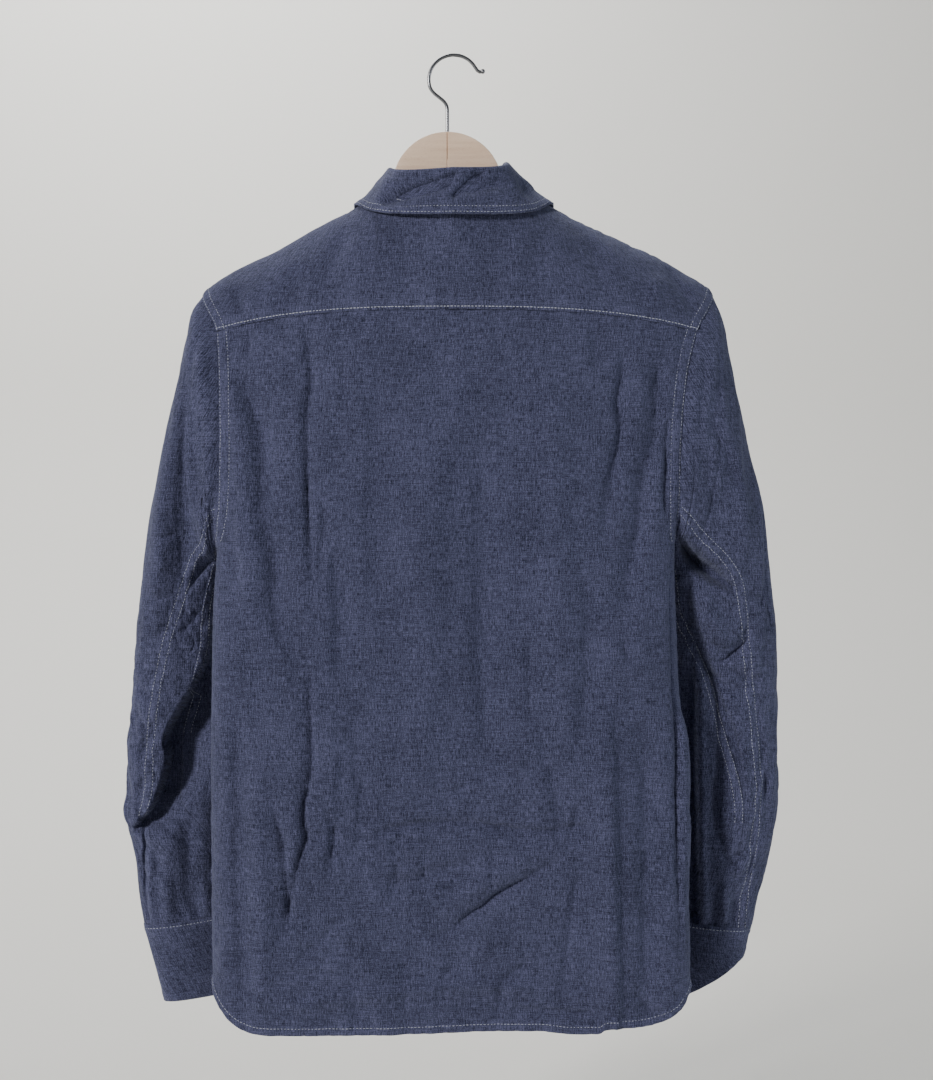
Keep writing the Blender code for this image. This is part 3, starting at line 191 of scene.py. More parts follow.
# The collar's outer edge: share of the way round from the centre back (0) to its front
# tip (1), and the place there on the wearer's left; the right mirrors it.
Leaf = namedtuple("Leaf", "share x y drop")
COLLAR_EDGE = (
    Leaf(0.000, 0.0000, 0.0570, 0.1555), Leaf(0.120, 0.0300, 0.0530, 0.1550),
    Leaf(0.230, 0.0570, 0.0440, 0.1525), Leaf(0.335, 0.0785, 0.0270, 0.1460),
    Leaf(0.440, 0.0895, 0.0010, 0.1385), Leaf(0.535, 0.0925, -0.0210, 0.1435),
    Leaf(0.675, 0.0910, -0.0415, 0.1700), Leaf(0.850, 0.0765, -0.0515, 0.2120),
    Leaf(1.000, 0.0600, -0.0530, 0.2440),
)

# Wood of the hanger: its underside at distances out from the joint.
Wood = namedtuple("Wood", "out under_drop")
WOOD_UNDER = (
    Wood(0.000, 0.1490), Wood(0.035, 0.1535), Wood(0.070, 0.1655), Wood(0.110, 0.1830),
    Wood(0.150, 0.2020), Wood(0.185, 0.2190), Wood(0.230, 0.2400),
)
STEM_X = 0.0058            # the stem and the glued joint are a little off the collar's centre
WOOD_HALF_THICK = 0.0055
WOOD_DOME = 0.0507         # radius of the dome below the hook
WOOD_DOME_DROP = 0.0700    # its top
WOOD_CLEAR = 0.0024        # shoulder line of the wood below the cloth's middle surface
WOOD_TIPS = (0.214, 0.222) # left and right ends of the arms, out from the centre line
WOOD_NECK_RISE = 0.012     # how much the shoulder line rises if carried on to the centre line

# -------------------- creases
# Each crease holds its run of places (x, drop, half width, depth), in millimetres.  The
# cloth goes in by the depth, or out where it is less than nothing.  lean makes the side
# towards +X wider and the other steeper; sharp is 2 for a soft trough, less for a fold
# with a line at its bottom.
Crease = namedtuple("Crease", "lean sharp places")


def crease(lean, sharp, width, *places):
    """A crease of one half width, or of two: in between and at its ends.  Its places are
    (x, drop) where it fades out, (x, drop, depth), or (x, drop, depth, its own half width)."""
    between, ends = width if isinstance(width, tuple) else (width, width)
    path = []
    for number, (x, drop, *more) in enumerate(places):
        usual = ends if number in (0, len(places) - 1) else between
        depth, wide = (*more, *(0, usual)[len(more):])
        path.append((x, drop, wide, depth))
    return Crease(lean, sharp, tuple(path))


BACK_CREASES = (
    crease(-0.35, 2, (11, 9), (190, 284), (187, 306, 2), (181, 328, 2.9), (173, 352, 3),
        (171, 425, 2.7), (164, 448, 3.8, 12), (160, 478, 3.4, 12), (159, 506, 2.8), (153, 526, 2.2),
        (144, 544, 1.5, 10), (136, 586)),
    crease(-0.3, 2, 9, (201, 301, 0, 8), (193, 346, -1.6), (192, 408, -2), (185, 471, -1.7),
        (181, 533)),
    crease(-0.35, 1.15, 3.2, (118, 402), (117, 426, 1.6), (119, 462, 1.8), (120, 488)),
    crease(-0.35, 1.15, 3.2, (109, 451), (108, 471, 1.4), (109, 496)),
    crease(-0.35, 1.25, 4.8, (133, 246, 0, 4), (130, 275, 2), (128, 301, 2.5), (132, 336, 2.5),
        (131, 390, 3, 4), (131, 410, 3.5, 3.2), (128, 468, 2), (127, 515)),
    crease(-0.35, 2, (10, 9), (102, 444), (102, 471, 2), (102, 533, 2.2), (101, 577)),
    crease(-0.35, 1.25, 3.2, (99, 279), (99, 289, 1.3), (99, 305, 1.3), (99, 316)),
    crease(-0.35, 1.25, 3.2, (185, 252), (185, 261, 1.4), (185, 275, 1.2), (184, 285)),
    crease(-0.35, 1.25, 3.2, (195, 392), (195, 401, 1.8), (194, 408, 1.5), (193, 419)),
    crease(-0.35, 1.15, (2.1, 2.4), (114, 422), (114, 430, 1.2), (114, 439, 1.2), (113, 447)),
    crease(0.35, 1.15, 3.2, (128, 551), (127, 584, 2.2), (125, 632, 3), (128, 661, 3.2),
        (133, 688, 3.6), (130, 707, 3.6), (136, 726, 3.2), (144, 760, 3), (146, 775, 3.4, 4),
        (147, 795, 0, 4)),
    crease(0.3, 2, 9, (110, 586), (108, 640, -2, 10), (110, 675, -2), (117, 720, -1.5), (128, 764)),
    crease(-0.35, 1.15, (2.9, 2.4), (161, 671), (159, 690, 2, 2.7), (152, 713, 2.6),
        (150, 736, 2.6), (149, 759, 2.4), (146, 775, 1.6, 3.2)),
    crease(0, 2, 6, (140, 675), (141, 711, -1.8, 7), (144, 747, -1.6), (146, 764, 0, 5)),
    crease(-0.35, 1.15, 2.7, (113, 681), (111, 690, 1.6), (107, 700, 1.8), (109, 720, 1.6),
        (111, 739)),
    crease(-0.35, 1.15, 2.4, (-110, 677), (-108, 686, 1.5), (-106, 699, 1.5), (-103, 711)),
    crease(-0.35, 1.15, 3.2, (-95, 725), (-83, 733, 1.4), (-68, 743, 2.2), (-54, 751, 3),
        (-36, 761, 4, 3.4), (-26, 770, 3.4, 3.4), (-14, 777, 2.6), (2, 791, 1.6), (14, 795, 1.2),
        (26, 798)),
    crease(0, 2, (8, 7), (-82, 715), (-55, 733, -2), (-28, 747, -2.2), (-2, 766, -1.5), (16, 778)),
    crease(-0.35, 1.15, 2.4, (-36, 709), (-35, 721, 1.3), (-34, 745, 1.3), (-34, 757)),
    crease(0.35, 1.35, 4, (72, 706), (57, 701, 2.4), (26, 696, 2.9), (-6, 695, 2.5),
        (-38, 699, 2.9), (-74, 703, 2.9), (-107, 699, 2.2), (-127, 695)),
    crease(0.35, 2, (9, 8), (65, 759), (52, 752, 1.8), (25, 743, 2), (-6, 732, 1.6), (-24, 725)),
    crease(-0.35, 1.25, 4, (-68, 814), (-59, 825, 1.6), (-43, 838, 1.8), (-39, 859, 1.5),
        (-38, 875, 1)),
    crease(0.35, 1.45, 3.2, (-44, 860), (-68, 862, 1.4), (-108, 863, 1.4), (-134, 865)),
    crease(0.35, 1.25, 3.2, (140, 821), (134, 814, 1.1), (117, 797, 1.1), (108, 787)),
    crease(0, 2, (7, 6), (154, 860), (130, 855, -1.1, 6), (76, 848, -1.3), (21, 843, -1.3),
        (-19, 839, -1.3), (-57, 841, -1), (-86, 844)),
    crease(0.55, 2, 10, (-136, 586, 0, 9), (-139, 644, -3), (-141, 729, -3.6), (-143, 809, -3.4),
        (-145, 876, -2.6)),
    crease(-0.3, 2, 12, (-166, 604, 0, 11), (-172, 675, 3), (-172, 764, 3.2), (-171, 871, 2)),
    crease(-0.35, 1.8, (7, 8), (-153, 270, 0, 6), (-151, 297, 2.6), (-147, 319, 3), (-150, 342, 3),
        (-147, 362, 3), (-141, 386, 2.4), (-136, 426, 1.4, 8), (-134, 471)),
    crease(-0.35, 2, (9, 8), (-128, 250), (-128, 262, 1.5), (-128, 280, 1.6), (-129, 298)),
    crease(0.2, 1.9, 9, (-189, 270, 0, 7), (-186, 297, 2.4, 8), (-184, 328, 3, 8), (-181, 354, 3.4),
        (-173, 377, 3.4), (-169, 408, 3.2), (-166, 439, 3.2), (-157, 475, 2.4), (-150, 533)),
    crease(-0.35, 1.15, 3.2, (-193, 333), (-192, 348, 2.6), (-191, 382, 3), (-190, 408, 2.4),
        (-190, 426)),
    crease(-0.35, 2, (16, 14), (-26, 346), (-26, 381, 2), (-25, 444, 2.6), (-26, 517, 2.8),
        (-29, 601, 2.4), (-34, 666)),
    crease(0.2, 2, (20, 18), (12, 301), (19, 390, -2.2), (23, 497, -2.4), (26, 622, -2), (30, 729)),
    crease(-0.35, 1.15, 2.8, (-67, 531), (-67, 546, 1.1), (-67, 597, 1.1), (-68, 613)),
    crease(-0.35, 1.25, 3.2, (-152, 529), (-152, 538, 1.7), (-153, 547, 1.5), (-154, 556)),
    crease(-0.35, 1.15, 2.4, (55, 706), (54, 718, 1), (51, 743, 1), (49, 757)),
    crease(-0.35, 1.15, 2.4, (23, 711), (25, 722, 1), (27, 743, 1), (30, 759)),
    crease(0.35, 1.15, 2.4, (53, 713), (42, 709, 1.5), (30, 713, 1.4), (23, 716)),
    crease(0.35, 1.15, 2.4, (127, 711), (122, 707, 1.1), (112, 704, 1.1), (104, 702)),
    crease(-0.2, 2, 5, (-198, 586), (-204, 622, -2.6), (-205, 702, -2.8), (-204, 764, -2.4),
        (-204, 836)),
    crease(-0.35, 1.15, 3.2, (-196, 462), (-196, 506, 3), (-198, 577, 3.4), (-200, 640, 3.4),
        (-201, 720, 3.2), (-202, 782, 2.6), (-203, 827)),
    crease(0, 2, (15, 14), (-82, 261), (-88, 346, -1.8), (-91, 462, -2, 16), (-95, 569, -1.4),
        (-95, 649)),
    crease(-0.35, 2, (13, 12), (65, 257), (69, 337, 1.5), (71, 426, 1.6), (67, 515)),
    crease(-0.35, 2, (10, 9), (-117, 462), (-120, 515, 1.6), (-118, 577, 1.8), (-111, 640)),
    crease(-0.35, 2, (9, 8), (197, 577), (193, 640, 1.8), (193, 720, 2), (190, 800, 1.4),
        (188, 871, 1)),
    crease(0, 2, (9, 8), (176, 622), (174, 693, -1.8), (170, 764, -1.8), (170, 853, -1)),
    crease(-0.35, 1.8, 7, (90, 577), (87, 640, 1.2), (81, 693, 1.2), (83, 764)),
    crease(-0.35, 1.8, 8, (-77, 586), (-83, 640, 1.4), (-91, 675, 1.4), (-95, 720)),
    crease(-0.35, 1.35, 4.8, (-113, 729), (-106, 764, 1.6), (-100, 809, 1.6), (-95, 853, 0.8)),
    crease(-0.35, 1.35, 4.8, (-8, 800), (3, 822, 1.2), (12, 853, 1), (15, 878, 0.6)),
    crease(-0.35, 1.8, 7, (96, 809), (90, 840, 1.2), (87, 878, 0.9)),
    crease(0.35, 1.25, 4, (-157, 840), (-173, 858, 1.8), (-184, 868, 1.6), (-198, 864)),
)
YOKE_CREASES = (
    crease(0, 2, (10, 9), (138, 195), (141, 211, 1.5), (145, 229, 1.2), (147, 241)),
    crease(0, 2, 8, (175, 213), (181, 225, -1.2), (184, 239)),
    crease(0, 2, 9, (96, 161, 0, 7), (102, 179, 1.4), (111, 206, 1.2), (118, 229)),
    crease(0, 1.8, 6, (202, 216), (195, 229, 1.2), (191, 241, 0.8), (190, 248)),
    crease(0, 2, 9, (-119, 168, 0, 8), (-128, 189, 1.3), (-135, 216, 1.2), (-137, 234)),
    crease(0, 2, 8, (-176, 202), (-182, 220, -1.2), (-185, 241)),
    crease(0, 2, 10, (37, 159, 0, 9), (41, 184, 1), (43, 220, 0.8), (44, 233)),
    crease(0, 2, 10, (-60, 159, 0, 9), (-56, 186, -1), (-54, 220, -0.6), (-53, 233)),
    crease(0, 1.8, 6, (-13, 159), (-20, 175, 0.9), (-24, 195)),
    crease(0, 1.8, 5, (-192, 195), (-205, 214, 1.4), (-216, 234, 1.2), (-221, 248)),
)
LEFT_SLEEVE_CREASES = (
    crease(0.2, 1.5, 4, (215, 412, 1, 3.5), (216, 428, 5, 3.6), (218, 459, 7), (224, 464, 7),
        (232, 473, 6), (239, 483, 4), (247, 492)),
    crease(0, 2, 5, (225, 415), (225, 430, -2.6), (225, 448, -3), (234, 462, -2.6), (247, 479)),
    crease(0, 1.6, 4, (281, 445), (273, 444, 2.2), (259, 440, 2), (250, 437)),
    crease(0, 1.6, 4, (291, 496), (284, 497, 2.2), (269, 498, 2), (260, 498)),
    crease(0, 1.6, 3.5, (252, 533), (247, 526, 2.2), (239, 516, 2), (234, 509)),
    crease(0.1, 1.9, 9, (240, 272, 0, 8), (242, 317, 3.4), (246, 353, 4.4, 8), (247, 380, 4.4, 8),
        (250, 435, 4), (252, 490, 3), (257, 536)),
    crease(0, 1.5, 3, (244, 319), (245, 331, 1.8), (247, 376, 1.8), (247, 389)),
    crease(0, 1.6, 4, (229, 353), (231, 371, 2.2), (232, 405, 2.2), (233, 422)),
    crease(0, 2, 6, (226, 259), (226, 279, -2.2), (227, 320, -2.2), (227, 339)),
    crease(0, 2, 9, (260, 344, 0, 8), (267, 407, -3), (272, 462, -3.2), (279, 518)),
    crease(0, 1.8, 5, (232, 259), (237, 283, 1.6), (239, 302)),
    crease(0, 1.8, 5, (280, 462), (272, 473, 1.8), (260, 479, 1.6), (248, 475)),
    crease(0, 1.8, 5, (294, 536), (281, 538, 2.2), (266, 527, 2), (255, 516)),
    crease(0, 1.8, 6, (298, 592), (285, 583, 2.4), (274, 566, 2), (266, 551)),
    crease(0, 1.8, 6, (302, 648), (291, 642, 2.8), (280, 627, 2.4), (272, 611)),
    crease(0, 1.7, 5, (304, 691), (297, 685, 2.6), (288, 672, 2.6), (278, 657)),
    crease(0, 1.9, 6, (288, 592), (292, 625, -1), (295, 657, -1), (293, 685)),
    crease(0, 2, (11, 9), (225, 297), (231, 326, 5, 10), (235, 362, 7.5), (238, 407, 7.5),
        (242, 453, 6), (243, 490, 0, 10)),
    crease(0, 1.5, 3, (225, 426), (228, 444, 2), (231, 464, 2), (234, 481)),
    crease(0, 1.8, 8, (258, 713), (264, 737, -2), (266, 769, -2), (264, 796, -1)),
    crease(0, 1.7, 5, (243, 685), (247, 723, 2), (247, 760, 2.4), (246, 794, 1.8)),
    crease(0, 1.8, 7, (232, 667), (233, 713, -1.6), (232, 760, -1.6), (232, 793, -1)),
    crease(0, 1.7, 4, (275, 728), (276, 751, 2), (275, 779, 2), (273, 799, 1.4)),
    crease(0, 1.7, 3.5, (257, 760), (257, 779, 1.6), (256, 799, 1.6)),
    crease(0, 1.7, 3.5, (239, 741), (239, 769, 1.6), (238, 797, 1.6)),
)
RIGHT_SLEEVE_CREASES = (
    crease(0, 1.4, 4, (201, 435, 0, 3), (205, 443, 6), (213, 452, 10, 5.5), (219, 460, 10.5, 6),
        (227, 469, 9.5, 6), (238, 478, 7, 5.5), (251, 489)),
    crease(0, 2, 5, (208, 448, 0, 4), (219, 448, -2.6), (234, 455, -3.2), (249, 468, -3),
        (262, 483, -1.5), (270, 496)),
    crease(0, 1.6, 4, (214, 483, 2, 3), (215, 504, 3.4, 3.4), (217, 529, 4, 3.6), (225, 541, 4.4),
        (234, 561, 4.4), (244, 573, 4), (253, 581, 3), (263, 588)),
    crease(0, 2, 9, (228, 486), (229, 503, -6.5, 10), (235, 520, -7, 11), (244, 534, -4),
        (255, 544, 0, 8)),
    crease(0, 1.5, 6, (273, 488), (272, 505, 3, 7), (270, 523, 3.6), (264, 536, 3.4, 4),
        (253, 544, 3, 3.6), (241, 550, 2, 3.4), (235, 553, 0, 3)),
    crease(0, 1.5, (3.4, 3), (235, 554), (241, 556, 2.6), (254, 559, 3), (265, 564, 3),
        (277, 571, 2), (283, 577)),
    crease(0, 2, 5, (224, 562), (227, 592, -4), (228, 667, -4.4), (229, 741, -4), (232, 802, -2)),
    crease(0.2, 1.8, 5, (241, 570, 3), (244, 592, 5), (245, 629, 5.4, 6), (244, 667, 5),
        (242, 695, 3), (242, 723)),
    crease(0, 2, 6, (261, 583), (265, 629, -2), (269, 676, -2.2), (268, 723, -2), (262, 779)),
    crease(0, 1.6, 4, (276, 583), (280, 611, 2.4), (284, 648, 2.4), (288, 685, 2), (286, 723)),
    crease(0, 1.5, 3.2, (239, 657), (240, 670, 2.4), (242, 700, 2.6), (248, 723, 2.6),
        (255, 739, 2), (260, 751)),
    crease(0, 1.5, 3, (244, 756), (243, 768, 2), (241, 790, 2), (240, 803, 1.4)),
    crease(0, 1.5, 3, (247, 759), (254, 756, 1.8), (264, 753, 1.6), (272, 749)),
    crease(0, 1.6, 4, (251, 760), (251, 779, -2), (250, 803, -1.6)),
    crease(0, 1.6, 4, (262, 764), (260, 783, 2), (257, 803, 1.6)),
    crease(0, 1.6, 4, (273, 704), (274, 732, 2), (270, 760, 2), (266, 779)),
    crease(0, 1.7, 5, (230, 262), (227, 279, 2.6), (224, 313, 2.8), (220, 345, 2.2), (218, 371)),
    crease(0, 1.7, 5, (240, 297), (237, 313, 2.8), (234, 340, 3.4), (245, 362, 3.4),
        (256, 392, 2.8), (265, 413)),
    crease(0, 1.5, 3.5, (201, 433), (204, 440, 4), (212, 449, 5), (217, 455, 5), (225, 459, 4),
        (232, 462)),
    crease(0, 2, 5, (211, 412), (208, 426, -2.6), (212, 440, -2.4), (221, 449)),
    crease(0, 2, 9, (244, 317, 0, 8), (252, 353, -3), (260, 389, -3.2), (269, 435, -2), (273, 472)),
    crease(0, 1.8, 6, (230, 353), (229, 380, 2.6), (233, 407, 2.6), (241, 435)),
    crease(0, 1.8, 6, (263, 353), (269, 380, 2), (276, 416, 2), (280, 444)),
    crease(0, 1.7, 5, (292, 490), (283, 499, 2.2), (275, 499, 0, 4)),
    crease(0, 1.7, 5, (298, 536), (289, 546, 2.4), (278, 546)),
    crease(0, 1.7, 5, (299, 592), (291, 603, 2.2), (282, 613)),
)
# A fold's cloth falls away on one side (1 is towards +X of a path that runs down, on a
# sleeve away from the body) by the depth, and comes back over the tail, which stands in
# the place of the half width.
Fold = namedtuple("Fold", "side places")
LEFT_SLEEVE_FOLDS = (
    Fold(-1, ((219, 492, 10, 0), (223, 512, 12, 10), (227, 536, 16, 20), (231, 552, 22, 29),
        (244, 578, 32, 34), (254, 596, 36, 36), (266, 616, 36, 36), (270, 630, 36, 36),
        (268, 644, 34, 35), (272, 664, 30, 33), (276, 675, 26, 30), (281, 690, 21, 25),
        (293, 704, 14, 18), (302, 713, 10, 0))),
    Fold(-1, ((292, 706, 7, 4), (290, 725, 6, 7), (290, 760, 5, 6), (288, 790, 5, 4),
        (286, 806, 5, 0))),
)
RIGHT_SLEEVE_FOLDS = (
    Fold(-1, ((203, 432, 6, 0), (205, 440, 8, 9), (216, 450, 11, 15), (225, 458, 14, 20),
        (234, 463, 14, 20), (246, 473, 12, 16), (257, 486, 7, 10), (260, 491, 5, 0))),
    Fold(-1, ((219, 509, 8, 0), (232, 536, 10, 3), (245, 580, 12, 5), (261, 620, 11, 5),
        (270, 668, 9, 3), (274, 700, 8, 0))),
    Fold(-1, ((240, 553, 5, 0), (246, 551, 6, 7), (254, 545, 7, 8), (263, 538, 7, 7),
        (271, 527, 6, 0))),
    Fold(-1, ((240, 555, 5, 0), (247, 558, 6, 6), (259, 562, 7, 7), (272, 568, 7, 7),
        (283, 574, 6, 0))),
    Fold(-1, ((222, 556, 9, 4), (224, 580, 12, 9), (225, 640, 12, 12), (226, 720, 12, 13),
        (229, 790, 12, 13), (232, 806, 10, 10))),
)
FRONT_CREASES = (
    crease(0.2, 2, 15, (105, 270, 1, 10), (112, 400, 5, 13), (112, 520, 7), (104, 700, 6),
        (110, 870, 4)),
    crease(0, 2, (14, 9), (174, 320), (160, 430, 7, 13), (158, 520, 7), (164, 640, 4),
        (160, 800, 0, 12)),
    crease(-0.2, 2, 16, (-98, 280, 1, 12), (-92, 420, 5, 14), (-94, 560, 6, 15), (-102, 720, 7),
        (-96, 870, 4)),
    crease(0, 2, (13, 9), (-174, 320), (-157, 440, 7), (-150, 600, 4, 14), (-156, 760, 0, 12)),
    crease(0, 1.6, 6, (70, 300), (66, 360, 1.6), (72, 440, 1.8), (66, 520)),
    crease(0, 1.6, 6, (-64, 260), (-60, 330, 1.6), (-66, 420, 1.6), (-62, 480)),
    crease(0, 1.5, 4, (60, 640), (84, 655, 2), (112, 650, 2.2), (140, 662)),
    crease(0, 1.5, 4, (-52, 690), (-78, 700, 2), (-108, 694, 2), (-130, 704)),
    crease(0, 1.6, 5, (188, 470), (176, 500, 3), (150, 520, 2.4), (128, 530)),
    crease(0, 1.6, 5, (-184, 462), (-172, 492, 3), (-148, 510, 2.2), (-130, 516)),
    crease(0, 2, 9, (140, 700), (140, 780, -2.4), (142, 870, -2)),
    crease(0, 2, 9, (-132, 690), (-130, 780, -2.4), (-128, 870, -2)),
    crease(0, 1.8, 6, (40, 560), (44, 640, 1.4), (40, 720, 1.4), (44, 800)),
    crease(0, 1.8, 6, (-44, 520), (-40, 600, 1.4), (-44, 690, 1.2), (-40, 770)),
)
SLEEVE_FRONT_CREASES = (
    crease(0, 2, (9, 8), (252, 330), (254, 400, 4), (250, 470, 4), (244, 540)),
    crease(0, 1.7, (7, 5), (214, 560), (234, 576, 7), (262, 590, 7), (286, 596)),
    crease(0, 1.7, (7, 5), (208, 610), (232, 628, 8), (262, 640, 7), (290, 644)),
    crease(0, 1.7, (6, 5), (210, 668), (236, 676, 6), (266, 690, 5), (288, 704)),
    crease(0.2, 2, 7, (262, 700, 0, 6), (258, 740, 4), (252, 780, 4), (248, 806, 2)),
    crease(0, 1.6, 4, (226, 730), (224, 770, 2.6), (224, 806, 2)),
    crease(0, 1.8, (6, 5), (240, 452), (226, 480, 5), (216, 506)),
    crease(0, 1.6, 4, (276, 520), (270, 556, 2), (276, 600)),
)
# On the collar's leaf, seen from behind.
COLLAR_CREASES = (
    crease(0.3, 1.6, 4, (67, 142), (60, 139, 3.2, 5), (34, 132, 6.2, 5.6), (10, 126, 6.2, 5.6),
        (-1, 118, 2.8), (-5, 113)),
    crease(0.2, 1.6, (4.4, 4), (4, 142), (-1, 138, 3.4), (-18, 123, 5.2, 5), (-29, 113)),
    crease(0, 2, 6, (-10, 138), (-20, 133, 2.6), (-36, 128, 2.4), (-52, 124)),
    crease(0, 2, (7, 6), (66, 118), (58, 124, -1.4), (44, 128)),
    crease(0, 1.6, 4, (-56, 116), (-64, 128, 1.4), (-72, 140)),
)

# -------------------- how fine the grids are
PANEL_COLUMNS = 190
PANEL_ROWS = 250
FRONT_COLUMNS = 72
FRONT_ROWS = 180
PLACKET_COLUMNS = 16
YOKE_COLUMNS = 64          # on each shoulder
NECK_COLUMNS = 52          # between the side neck points
YOKE_ROWS = 58             # from the ridge down to a seam
SLEEVE_ROWS = 226
SLEEVE_TOP_COLUMNS = 112
SLEEVE_UNDER_COLUMNS = 40
CUFF_ROWS = 26
CUFF_COLUMNS = 120
COLLAR_COLUMNS = 200
COLLAR_ROLL_ROWS = 8
COLLAR_LEAF_ROWS = 30
STAND_ROWS = 12
FINE_EDGE = 0.011          # a strip beside each seam where the grid is finer
FINE_CELLS = 9
DENSE = 260                # points that measure a row before it is divided
BODY_DEPTH = 2.3           # the tables' depths are as wide soft light shows them: times this
SLEEVE_DEPTH = 1.4
PATH_STEPS = 5             # parts of each stretch of a crease
FOLD_REACH = 2.4           # tails after which a fold is nothing
FOLD_EDGE = 0.0030         # how wide the fall beside a fold's edge is
CREASE_REACH = 3.2         # half widths after which a crease is nothing
SLOPE_STEP = 0.0005
CLEAR_ROUNDS = 6
WELD = 0.00001
FAR = 1.0                  # a distance that is beside no seam

# -------------------- how seams are sewn
FELL_WIDTH = 0.0085        # a felled seam's turnings, between its two stitch rows
FELL_EDGE = 0.0012         # its slope
ROW_NEAR = 0.0012          # stitch rows in from a seam
ROW_FAR = 0.0085
HEM_WIDTH = 0.0075
HEM_ROW = 0.0062
BAND_ROW = 0.0018          # stitch row in from the edge of a collar or cuff
COLLAR_ROW = 0.0070        # its second row
STITCH_DIP = 0.00030       # how far a row of stitches pulls the cloth in
STITCH_DIP_WIDTH = 0.0008
YOKE_OVER = 0.0004         # how far the yoke's turned edge stands off the back
YOKE_ROW = 0.0026          # its stitch row above the back
YOKE_FRONT_ROW = 0.0022    # and above the fronts
YOKE_TUCK = 0.0012         # how far it runs on past the seam
SINK = 0.0009              # how deep a panel's top lies under the yoke's edge
SINK_WIDTH = 0.0035
PLACKET_ROW = 0.0055
FACING_ROW = 0.020         # where the right front's facing is sewn down
TUCK = 0.0022              # how far a panel runs on under its neighbour


# -------------------- reading the tables
def smooth(value, keys, values):
    """Read a table on a smooth curve that never overshoots its rows."""
    keys = np.asarray(keys, float)
    values = np.asarray(values, float)
    step = np.diff(keys)
    slope = np.diff(values) / step
    tangent = np.concatenate(([slope[0]], np.zeros(len(step) - 1), [slope[-1]]))
    same = slope[:-1] * slope[1:] > 0
    together = 2 * slope[:-1] * slope[1:]
    tangent[1:-1][same] = together[same] / (slope[:-1] + slope[1:])[same]
    value = np.asarray(value, float)
    row = np.clip(np.searchsorted(keys, value) - 1, 0, len(step) - 1)
    t = np.clip((value - keys[row]) / step[row], 0, 1)
    start = (1 + 2 * t) * (1 - t) ** 2 * values[row]
    end = t * t * (3 - 2 * t) * values[row + 1]
    leave = t * (1 - t) ** 2 * step[row] * tangent[row]
    arrive = t * t * (t - 1) * step[row] * tangent[row + 1]
    return start + end + leave + arrive


def column(table, name):
    return [getattr(row, name) for row in table]


def unit(vectors):
    return vectors / np.maximum(np.linalg.norm(vectors, axis=-1, keepdims=True), 1e-12)


def ease(t):
    """From 0 to 1, level at both ends."""
    t = np.clip(t, 0, 1)
    return t * t * (3 - 2 * t)


def read(table, key, name, value):
    """Read one column of a table at values of its key column, on a smooth curve."""
    return smooth(value, column(table, key), column(table, name))


def edge_x(drop, side):
    return read(EDGES, "drop", "left" if side == LEFT else "right", drop)


def section(drop, name):
    return read(SECTIONS, "drop", name, drop)


# -------------------- the body's form
ARM_MIDDLE = (TIP_DROP + ARMPIT_DROP) / 2
ARM_HALF_DROP = (ARMPIT_DROP - TIP_DROP) / 2


def arm_opening(drop):
    """Half depth of the armhole at a drop, nothing above the tip and below the pit."""
    along = np.clip((np.asarray(drop, float) - ARM_MIDDLE) / ARM_HALF_DROP, -1, 1)
    return ARM_HALF_DEPTH * np.sqrt(1 - along ** 2)


def half_width(drop, side):
    """Where the body's outline would close, past the armhole seam if there is one."""
    fullness = section(drop, "fullness")
    share = (1 - (arm_opening(drop) / section(drop, "depth")) ** fullness) ** (1 / fullness)
    return edge_x(drop, side) / share


def body_point(x, drop, face):
    """The smooth form under the cloth, back (face 1) or front (face -1)."""
    x = np.asarray(x, float)
    drop = np.asarray(drop, float)
    reach_x = np.where(x >= 0, half_width(drop, LEFT), half_width(drop, RIGHT))
    out = np.clip(np.abs(x) / reach_x, 0, 1)
    fullness = section(drop, "fullness")
    rise = (1 - out ** fullness) ** (1 / fullness)
    y = section(drop, "bow") * out ** 2 + face * section(drop, "depth") * rise
    return np.stack([x, y, -drop], axis=-1)


def body_level(points):
    """1 on the body's form, more outside it."""
    x, y, drop = points[..., 0], points[..., 1], -points[..., 2]
    reach_x = np.where(x >= 0, half_width(drop, LEFT), half_width(drop, RIGHT))
    out = np.abs(x) / reach_x
    fullness = section(drop, "fullness")
    off_bow = np.abs(y - section(drop, "bow") * np.clip(out, 0, 1) ** 2)
    return out ** fullness + (off_bow / section(drop, "depth")) ** fullness


def level_slope(points):
    return np.stack([(body_level(points + move) - body_level(points - move)) / (2 * SLOPE_STEP)
                     for move in SLOPE_STEP * np.eye(3)], axis=-1)


def form_normal(points):
    """Outward direction of the body's form, the same for every panel at a place."""
    return unit(level_slope(points))


def stand_clear(points, lift):
    """Move points out from the body's form until they are clear of it by the lift."""
    for _ in range(CLEAR_ROUNDS):
        slope = level_slope(points)
        steep = np.linalg.norm(slope, axis=-1)
        short = np.clip(lift - (body_level(points) - 1) / steep, 0, lift)
        points = points + slope / steep[..., None] * short[..., None]
    return points


def ridge_drop(x, side):
    """Drop of the shoulder's ridge at a distance out."""
    drops = np.linspace(NECK_DROP, TIP_DROP, DENSE)
    return np.interp(x, edge_x(drops, side), drops)


def back_neck_drop(x):
    across = np.clip(np.abs(x) / NECK_HALF, 0, 1) ** BACK_NECK_POWER
    return NECK_DROP + BACK_NECK_DIP * (1 - across) ** NECK_ROUND


def front_neck_drop(x):
    across = np.clip(np.abs(x) / NECK_HALF, 0, 1) ** FRONT_NECK_POWER
    return NECK_DROP + FRONT_NECK_DIP * (1 - across) ** NECK_ROUND


def front_neck_x(drop):
    """The front neckline read the other way, from a drop to its distance out."""
    down = np.clip((drop - NECK_DROP) / FRONT_NECK_DIP, 0, 1) ** (1 / NECK_ROUND)
    return NECK_HALF * (1 - down) ** (1 / FRONT_NECK_POWER)


YOKE_CORNER_DROP = NECK_DROP + NECK_SHARE * FRONT_NECK_DIP
YOKE_CORNER_X = float(front_neck_x(YOKE_CORNER_DROP))


